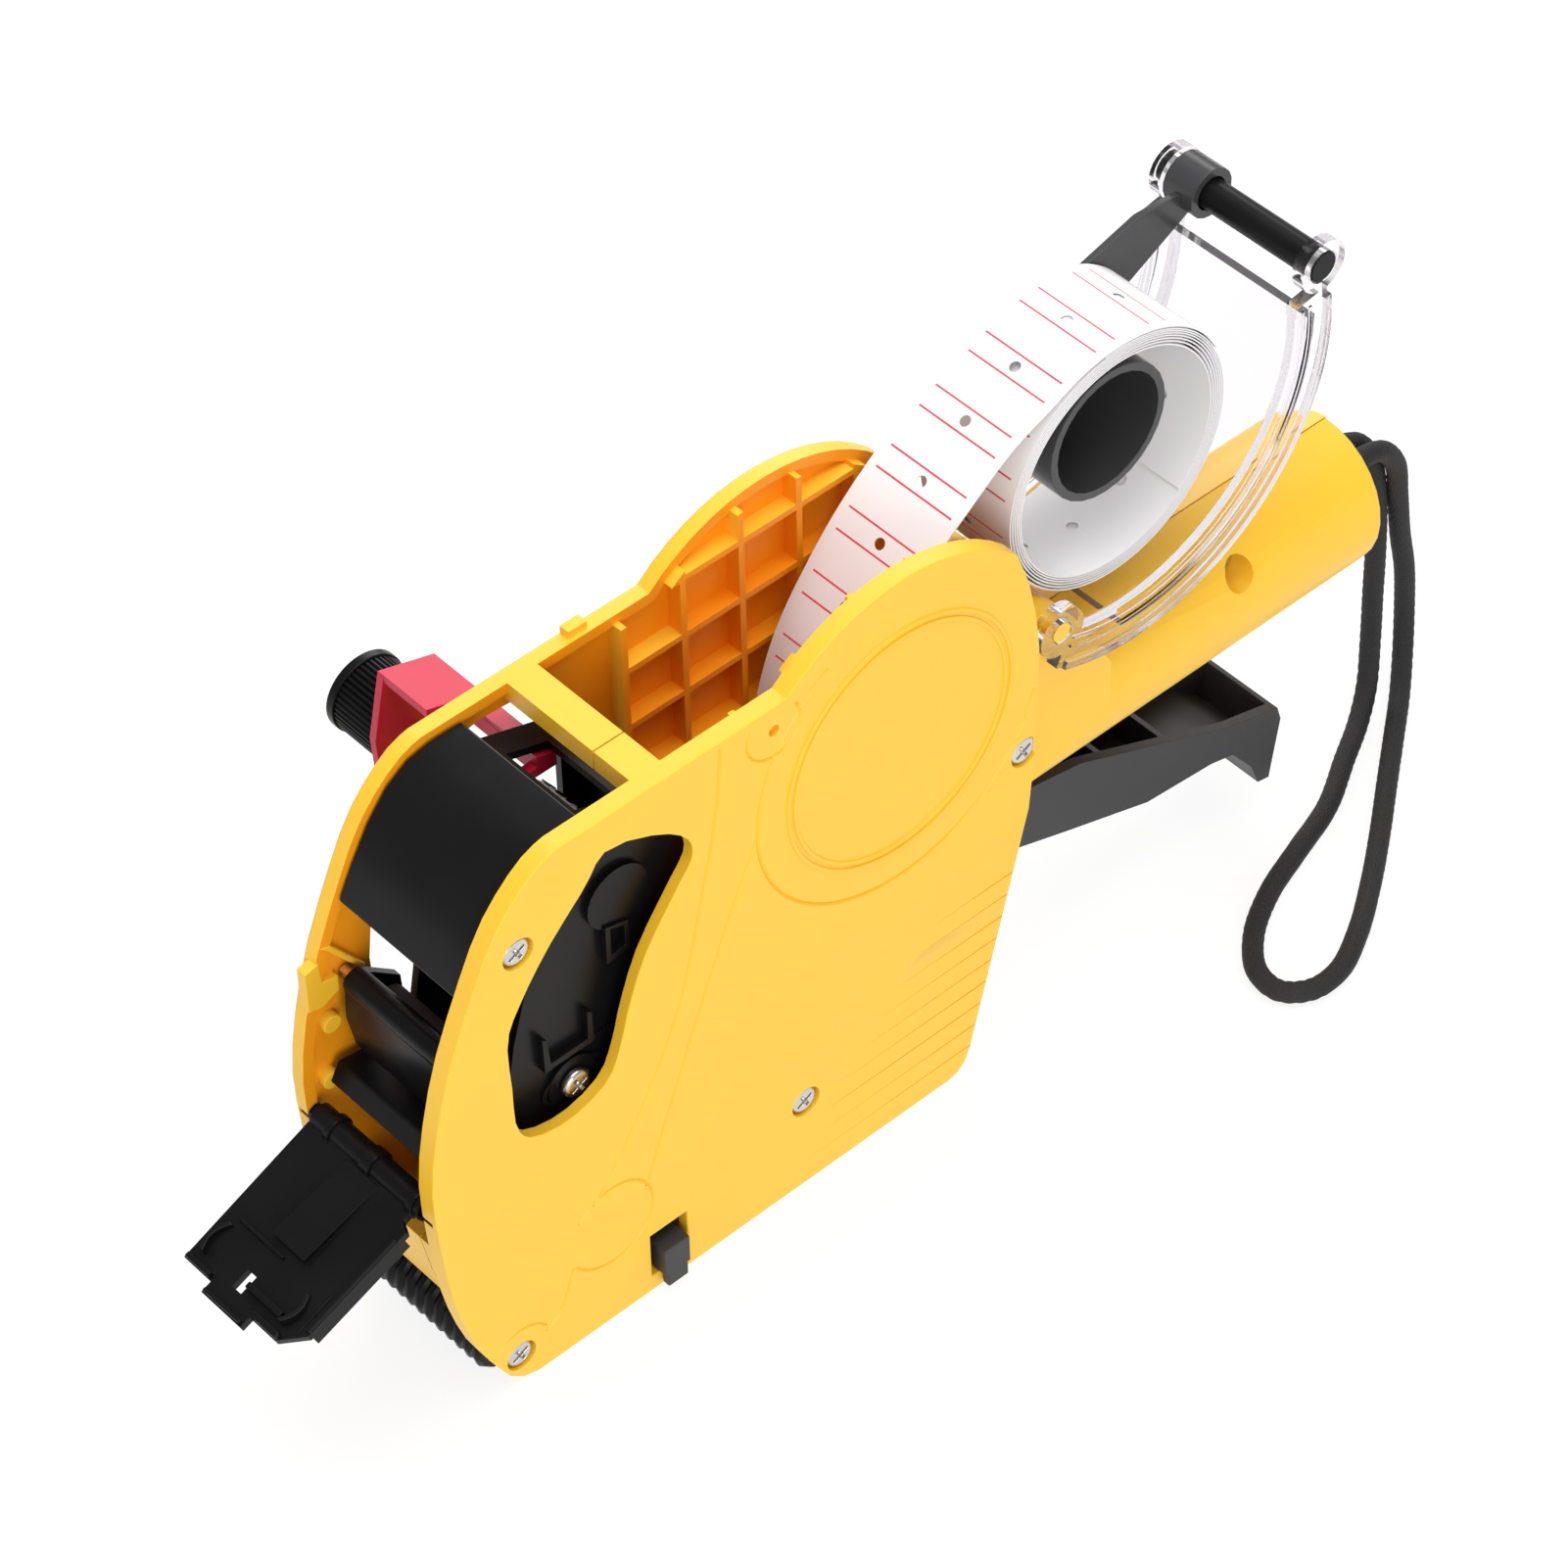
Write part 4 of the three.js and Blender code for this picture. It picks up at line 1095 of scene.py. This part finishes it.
@dataclass
class Labels:
    """The roll of label strip and its free end, printed with cut marks and punched with holes."""

    width: float = 21.0
    thick: float = 0.22
    pitch: float = 12.0
    hole_r: float = 1.05
    step: float = 1.6
    roll_at: Point = (90.296, 112.628)
    roll_inner: float = 21.6
    roll_outer: float = 24.7
    turns: float = 6.4
    leave: float = 98.0
    route: tuple[Point, ...] = (
        (66.5, 130), (57.5, 123.5), (48.5, 116), (40.5, 107), (33.5, 96.5), (29, 83.5), (27, 66), (24, 48),
        (17, 34), (14.5, 28.6),
    )

    def build(self) -> None:
        """Make the wound roll and the free strip that leaves its top."""
        wound = self.strip("wound_labels", self.spiral(), 1)
        dress(wound, LABELS, "roll", ["label_roll"])
        lift = self.roll_outer + 0.45
        over = [self.on_roll(lift, a) for a in range(26, int(self.leave), 12)]
        for rise, angle in ((0.1, self.leave + 2), (0.3, 112), (0.9, 126)):
            over.append(self.on_roll(lift + rise, angle))
        free = self.strip("free_label_strip", spline([*over, *self.route], 8), -1)
        free.data.materials.append(LABELS.build())
        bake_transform(free)
        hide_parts("label_strip")

    def on_roll(self, r: float, degrees: float) -> Point:
        """A point at a radius and angle about the roll's axis."""
        angle = math.radians(degrees)
        return (self.roll_at[0] + r * math.cos(angle), self.roll_at[1] + r * math.sin(angle))

    def spiral(self) -> list[Vector]:
        """The wound strip's line, loosening a little towards the outside of each turn."""
        steps = int(self.turns * 84)
        line = []
        for i in range(steps + 1):
            turned = 360 * self.turns * i / steps
            share = i / steps
            r = self.roll_outer + (self.roll_inner - self.roll_outer) * share
            r += 0.3 * math.sin(math.radians(turned + 30)) * math.sin(math.pi * share)
            line.append(Vector(self.on_roll(r, self.leave - turned)))
        return line

    def strip(self, name: str, line: Sequence[Vector], printed: int) -> bpy.types.Object:
        """Punch a flat strip and bend it along a side-view line.

        Args:
            name: the piece's name.
            line: the points that its middle follows, as (x, z).
            printed: 1 to print the side on the line's left, -1 the other.

        Returns:
            The bent mesh, with a map of (across, along) in metres.
        """
        runs = [0.0]
        for a, b in zip(line, line[1:]):
            runs.append(runs[-1] + (b - a).length)
        half = self.width / 2
        piece = block(name, (0, -half, -self.thick / 2), (runs[-1], half, self.thick / 2))
        holes = []
        at = self.pitch / 2
        while at < runs[-1] - 2:
            deselect()
            bpy.ops.mesh.primitive_cylinder_add(
                vertices=18, radius=self.hole_r * MM, depth=2 * MM, location=(at * MM, 0, 0)
            )
            holes.append(named("hole"))
            at += self.pitch
        cut(piece, gather("holes", holes))
        mesh = bmesh.new()
        mesh.from_mesh(piece.data)
        mesh.normal_update()
        for i in range(1, int(runs[-1] / self.step) + 1):
            everything = [*mesh.verts, *mesh.edges, *mesh.faces]
            bmesh.ops.bisect_plane(mesh, geom=everything, plane_co=(i * self.step * MM, 0, 0), plane_no=(1, 0, 0))
        layer = mesh.loops.layers.uv.verify()
        for face in mesh.faces:
            aside = 0.0 if face.normal.z * printed > 0.5 else self.width * MM
            for loop in face.loops:
                loop[layer].uv = (loop.vert.co.y + aside, loop.vert.co.x)
        span = 0
        for vertex in sorted(mesh.verts, key=lambda v: v.co.x):
            s = vertex.co.x / MM
            while span < len(line) - 2 and runs[span + 1] < s:
                span += 1
            along = line[span + 1] - line[span]
            t = (s - runs[span]) / max(along.length, 1e-9)
            here = line[span] + along * t
            before = (line[span + 1] - line[max(span - 1, 0)]).normalized()
            after = (line[min(span + 2, len(line) - 1)] - line[span]).normalized()
            tangent = before.lerp(after, t).normalized()
            height = vertex.co.z / MM
            vertex.co = Vector((here.x - tangent.y * height, vertex.co.y / MM, here.y + tangent.x * height)) * MM
        bmesh.ops.recalc_face_normals(mesh, faces=mesh.faces)
        mesh.to_mesh(piece.data)
        mesh.free()
        return smooth(piece, 40)


# ---------------------------------------------------------------- screws


@dataclass(frozen=True)
class Screw:
    """A domed screw with a cross slot, in place of a plain CAD screw."""

    node: str
    body: str

    def build(self) -> None:
        """Dome the CAD screw's head and cut its slot."""
        low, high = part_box(self.node)
        x, z = (low.x + high.x) / 2 / MM, (low.z + high.z) / 2 / MM
        r = (high.x - low.x) / 2 / MM
        face = low.y / MM
        piece = copy_node(self.node, self.node + "_crosshead")

        def on_head(a: Vector, b: Vector) -> bool:
            """Whether an edge lies on the head's outer face."""
            return abs(a.y - face) < 0.05 and abs(b.y - face) < 0.05

        round_where(piece, 0.8, 4, on_head)
        arms = [
            block("slot", (x - r * 0.62, face - 1, z - 0.32), (x + r * 0.62, face + 0.75, z + 0.32)),
            block("slot", (x - 0.32, face - 1, z - r * 0.62), (x + 0.32, face + 0.75, z + r * 0.62)),
        ]
        slot = fuse(arms[0], arms[1], rod("slot", (x, z), 0.62, face - 1, face + 0.95, 16))
        take(slot)
        bpy.ops.transform.rotate(value=math.radians(28), orient_axis="Y", center_override=(x * MM, 0, z * MM))
        bpy.ops.object.transform_apply(location=True, rotation=True, scale=True)
        cut(piece, slot)
        soften(piece, 0.08, 1)
        dress(piece, STEEL, self.body, [self.node])


SCREWS = (
    Screw("case_screw_front", "housing"),
    Screw("case_screw_rear", "housing"),
    Screw("case_screw_base", "housing"),
    Screw("case_screw_nose", "housing"),
    Screw("print_head_screw", "lever"),
)


# ---------------------------------------------------------------- number wheels


@dataclass
class NumberWheels:
    """Eight wheels, each with the ten figures round its rim."""

    at: Point = (-21.3, 92.5)
    r: float = 7.0
    count: int = 8
    figure: float = 3.1

    def build(self) -> None:
        """Dress each wheel and lay its figures on it."""
        for i in range(1, self.count + 1):
            node = f"digit_wheel_{i}"
            Moulding(node, WHITE, f"wheel_{i}", 0.15).build()
            low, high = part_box(node)
            middle = (low.y + high.y) / 2 / MM
            figures = [self.numeral(value, middle, 36 * (value + 3 * i)) for value in range(10)]
            dress(gather(f"{node}_figures", figures), BLACK, f"wheel_{i}")

    def numeral(self, value: int, y: float, degrees: float) -> bpy.types.Object:
        """Make one raised figure on a wheel's rim.

        Args:
            value: the figure, 0 to 9.
            y: where its middle lies across the width.
            degrees: its angle round the wheel.

        Returns:
            The figure as a mesh object.
        """
        deselect()
        bpy.ops.object.text_add()
        text = bpy.context.object
        text.data.body = str(value)
        text.data.size = self.figure * 1.25 * MM
        text.data.align_x = "CENTER"
        text.data.align_y = "CENTER"
        text.data.extrude = 0.12 * MM
        text.data.resolution_u = 3
        bpy.ops.object.convert(target="MESH")
        piece = bpy.context.object
        angle = math.radians(degrees)
        out = Vector((math.cos(angle), 0, math.sin(angle)))
        right = Vector((0, 1, 0))
        up = out.cross(right)
        turned = Matrix([[c[row] for c in (right, up, out)] for row in range(3)]).to_4x4()
        centre = Vector((self.at[0], y, self.at[1])) * MM + out * (self.r + 0.02) * MM
        piece.data.transform(Matrix.Translation(centre) @ turned)
        return piece


# ---------------------------------------------------------------- print head trim


@dataclass
class HeadTrim:
    """Small mouldings on the print head's near side plate, seen through the window."""

    face: float = -12.4
    comb_teeth: int = 15
    boss: Point = (-32.0, 57.2)

    def build(self) -> None:
        """Make the disc's tab, the pointer with its prongs, the comb and the screw's boss."""
        y = self.face
        tab = plate("tab", [(-24.6, 88), (-19.8, 86.6), (-19.8, 80.2), (-24.6, 79.6)], y - 1.6, y + 0.2)
        cut(tab, plate("tab_hole", [(-23.5, 87), (-20.7, 86), (-20.7, 81.4), (-23.5, 81)], y - 3, y + 1))
        base = plate("base", [(-38.4, 65.6), (-28.2, 65.6), (-28.2, 64.2), (-38.4, 64.2)], y - 1.5, y + 0.2)
        left = plate("prong", [(-38.6, 72.4), (-37.6, 71.6), (-36.9, 64.2), (-38.4, 64.2)], y - 1.6, y + 0.2)
        right = plate("prong", [(-29.2, 72), (-28.2, 71.2), (-28, 64.2), (-29.4, 64.2)], y - 1.6, y + 0.2)
        teeth = [
            block("tooth", (-33.4 + 0.68 * i, y - 0.7, 63.0), (-33.06 + 0.68 * i, y + 0.2, 64.3))
            for i in range(self.comb_teeth)
        ]
        rim = plate("boss_rim", self.oval(6.6, 4.1), y - 0.7, y + 0.2)
        cut(rim, plate("boss_dish", self.oval(5.7, 3.3), y - 2, y + 1))
        parts = [tab, base, left, right, rim, gather("comb", teeth)]
        for part in parts:
            soften(part, 0.15, 2)
        dress(gather("head_side_trim", parts), BLACK, "lever")

    def oval(self, across: float, high: float, steps: int = 40) -> list[Point]:
        """The outline of an oval about the screw's boss.

        Args:
            across: half its length.
            high: half its height.
            steps: how many corners it has.

        Returns:
            Its corners as (x, z).
        """
        turns = [TAU * i / steps for i in range(steps)]
        return [(self.boss[0] + across * math.cos(a), self.boss[1] + high * math.sin(a)) for a in turns]


# ---------------------------------------------------------------- clear cover


@dataclass
class ClearCover:
    """The clear cover with the thick rim and fine ribs of its two cheeks."""

    centre: Point = (87.77, 123.70)
    rim: tuple[float, float] = (42.1, 43.6)
    ribs: tuple[tuple[float, float], ...] = ((38.9, 39.5), (37.2, 37.7))
    start: float = -112.0
    end: float = 8.0

    def build(self) -> None:
        """Add the rims to the CAD cover, and paint shade on its edges."""
        piece = modify(copy_node("label_cover", "clear_label_cover"), "TRIANGULATE")
        low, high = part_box("label_cover")
        extra = []
        for out, face in ((-1, low.y / MM), (1, high.y / MM)):
            extra.append(self.band("rim", self.rim, face - out * 0.3, face + out * 0.8))
            extra += [self.band("rib", r, face - out * 0.3, face + out * 0.4) for r in self.ribs]
        fuse(piece, *[modify(e, "TRIANGULATE") for e in extra])
        soften(piece, 0.3, 3)
        dress(piece, CLEAR, "cover", ["label_cover"])
        # painted shade: the walls' end faces and the rim's outer edge get the greyer plastic in place of the
        # refraction that darkens them
        piece.data.materials.append(CLEAR_PAINTED_EDGE_SHADE.build())
        for face in piece.data.polygons:
            away = Vector((face.center.x / MM - self.centre[0], face.center.z / MM - self.centre[1]))
            radial = Vector((face.normal.x, face.normal.z)).dot(away.normalized())
            wall_end = abs(face.center.y / MM) < 15 and abs(radial) < 0.3 and abs(face.normal.y) < 0.3
            rim_edge = away.length > self.rim[1] - 0.3 and radial > 0.7
            if wall_end or rim_edge:
                face.material_index = 1

    def band(self, name: str, radii: tuple[float, float], y0: float, y1: float) -> bpy.types.Object:
        """Add a curved strip about the cover's centre.

        Args:
            name: the strip's name.
            radii: its inner and outer radius.
            y0: where one face lies across the width.
            y1: where the other face lies.

        Returns:
            The new mesh object.
        """
        inner = circle_line(self.centre, radii[0], self.start, self.end, 60)
        outer = circle_line(self.centre, radii[1], self.start, self.end, 60)
        return plate(name, [*inner, *reversed(outer)], min(y0, y1), max(y0, y1))


# ---------------------------------------------------------------- loading flap


@dataclass
class LoadingFlap:
    """The open front flap: its CAD sheet with the ribs, collars and tip rim."""

    hinge: Point = (-63.4, 51.0)
    droop: float = 22.4
    top: float = 0.8

    def build(self) -> None:
        """Make the sheet and the mouldings on it."""
        Moulding("front_flap", BLACK, "flap", 0.3, 3).build()
        low = self.top - 0.3
        parts = [
            block("tip_rim", (-10.5, 30.0, low), (-4.4, 31.2, 2.2)),
            block("tip_rim_far", (6.6, 30.2, low), (12.6, 31.2, 1.9)),
            block("stop", (-8.6, 27.2, low), (0.0, 28.4, 2.3)),
            block("step", (-1.0, 20.6, low), (10.0, 21.3, 1.5)),
            block("near_rim", (-14.1, 7.0, low), (-13.1, 27.0, 1.4)),
            block("recess_edge", (-12.6, 20.5, low), (-12.1, 28.5, 1.0)),
            block("tab_rim", (-3.4, 32.6, low), (5.8, 33.3, 1.7)),
            self.curved_rib("near_rib", -9.0, -1.2),
            self.curved_rib("far_rib", 10.6, 1.2),
        ]
        for part in parts:
            soften(part, 0.22, 2)
        collars = [rod("collar", (0, 0), 2.75, a, b, 32) for a, b in ((8.3, 9.9), (-1.8, 0.8), (-12.4, -10.9))]
        tilt = math.radians(self.droop)
        out = Vector((-math.cos(tilt), 0, -math.sin(tilt)))
        over = Vector((-math.sin(tilt), 0, math.cos(tilt)))
        columns = (Vector((0, 1, 0)), out, over)
        turned = Matrix([[c[row] for c in columns] for row in range(3)]).to_4x4()
        place = Matrix.Translation(Vector((self.hinge[0], 0, self.hinge[1])) * MM)
        ribs = gather("flap_ribs", parts)
        ribs.data.transform(place @ turned)
        rings = gather("flap_collars", [soften(c, 0.25, 2) for c in collars])
        rings.data.transform(place)
        dress(ribs, BLACK, "flap")
        dress(rings, BLACK, "flap")

    def curved_rib(self, name: str, across: float, bow: float) -> bpy.types.Object:
        """Make a rib along the flap that bows sideways, in the flap's own frame.

        Args:
            name: the rib's name.
            across: where it starts across the flap.
            bow: how far its middle moves sideways.

        Returns:
            The new mesh object.
        """
        steps = 10
        sections = []
        for i in range(steps + 1):
            share = i / steps
            v = across + bow * math.sin(math.pi * share)
            u = 22.4 + 6.4 * share
            high = self.top + 0.7 + 1.2 * share
            low = self.top - 0.3
            sections.append([(v - 0.5, u, low), (v + 0.5, u, low), (v + 0.5, u, high), (v - 0.5, u, high)])
        return tube_of(name, sections)


# ---------------------------------------------------------------- setting knob


@dataclass
class SettingKnob:
    """The knob with fine ribs along its grip and a plain ring at its outer end."""

    ribs: int = 46
    r: float = 7.2
    depth: float = 0.4
    ring: float = 1.8

    def build(self) -> None:
        """Make the knob where its CAD node is."""
        low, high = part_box("selector_knob")
        at = ((low.x + high.x) / 2 / MM, (low.z + high.z) / 2 / MM)
        start, end = low.y / MM, high.y / MM
        outline = []
        for i in range(self.ribs):
            for turn, r in ((0.0, self.r - self.depth), (0.3, self.r), (0.62, self.r), (0.92, self.r - self.depth)):
                angle = TAU * (i + turn) / self.ribs
                outline.append((at[0] + r * math.cos(angle), at[1] + r * math.sin(angle)))
        grip = soften(plate("ribbed_grip", outline, start, end - self.ring + 0.1), 0.1, 1)
        cap = rod("end_ring", at, self.r + 0.3, end - self.ring, end, 64)
        cut(cap, rod("dish", at, self.r - 1.5, end - 0.8, end + 1, 64))
        fuse(cap, rod("hub", at, 2.2, end - 1.2, end - 0.3, 40))
        soften(cap, 0.35, 3)
        dress(gather("ribbed_knob", [grip, cap]), BLACK, "knob", ["selector_knob"])


# ---------------------------------------------------------------- small case mouldings


@dataclass
class CaseTrim:
    """Small ledges and bosses inside the far half's front, and the block that holds the cord."""

    def build(self) -> None:
        """Make the ledges, the bosses, the top lug and the cord's holder."""
        ledge = [(-62.8, 83), (-59.8, 83.6), (-59.6, 79), (-56.4, 78.4), (-56.4, 75), (-60, 73.4), (-62.8, 74)]
        rail = [(-59.4, 86.4), (-57.2, 85.8), (-50.9, 77), (-51.6, 76.2), (-57.8, 84.8)]
        parts = [plate(f"ledge_{i}", line, 14.2, 16.4) for i, line in enumerate((ledge, rail))]
        parts += [rod("boss", at, 1.8, 13.8, 16.4, 28) for at in ((-58.7, 68.7), (-59.9, 56.2))]
        parts.append(block("lug", (-5.2, 15.4, 115.5), (-1.2, 17.7, 118.9)))
        for part in parts:
            soften(part, 0.3, 2)
        dress(gather("inner_ledges", parts), YELLOW, "housing")
        holder = plate("cord_holder", [(152.9, 71), (154.6, 70.4), (156.3, 64), (155.6, 61.6), (152.9, 61)], -1.9, 3.4)
        dress(soften(holder, 0.7, 3), BLACK, "housing")


# ---------------------------------------------------------------- the whole gun


def main() -> None:
    """Build the studio and every piece, in order."""
    logging.basicConfig(level=logging.INFO)
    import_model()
    Studio().build()
    WristCord().build()
    for side in Side:
        CaseHalf(side).build()
    for moulding in MOULDINGS:
        moulding.build()
    for screw in SCREWS:
        screw.build()
    Labels().build()
    NumberWheels().build()
    HeadTrim().build()
    ClearCover().build()
    LoadingFlap().build()
    SettingKnob().build()
    CaseTrim().build()


if __name__ == "__main__":
    main()
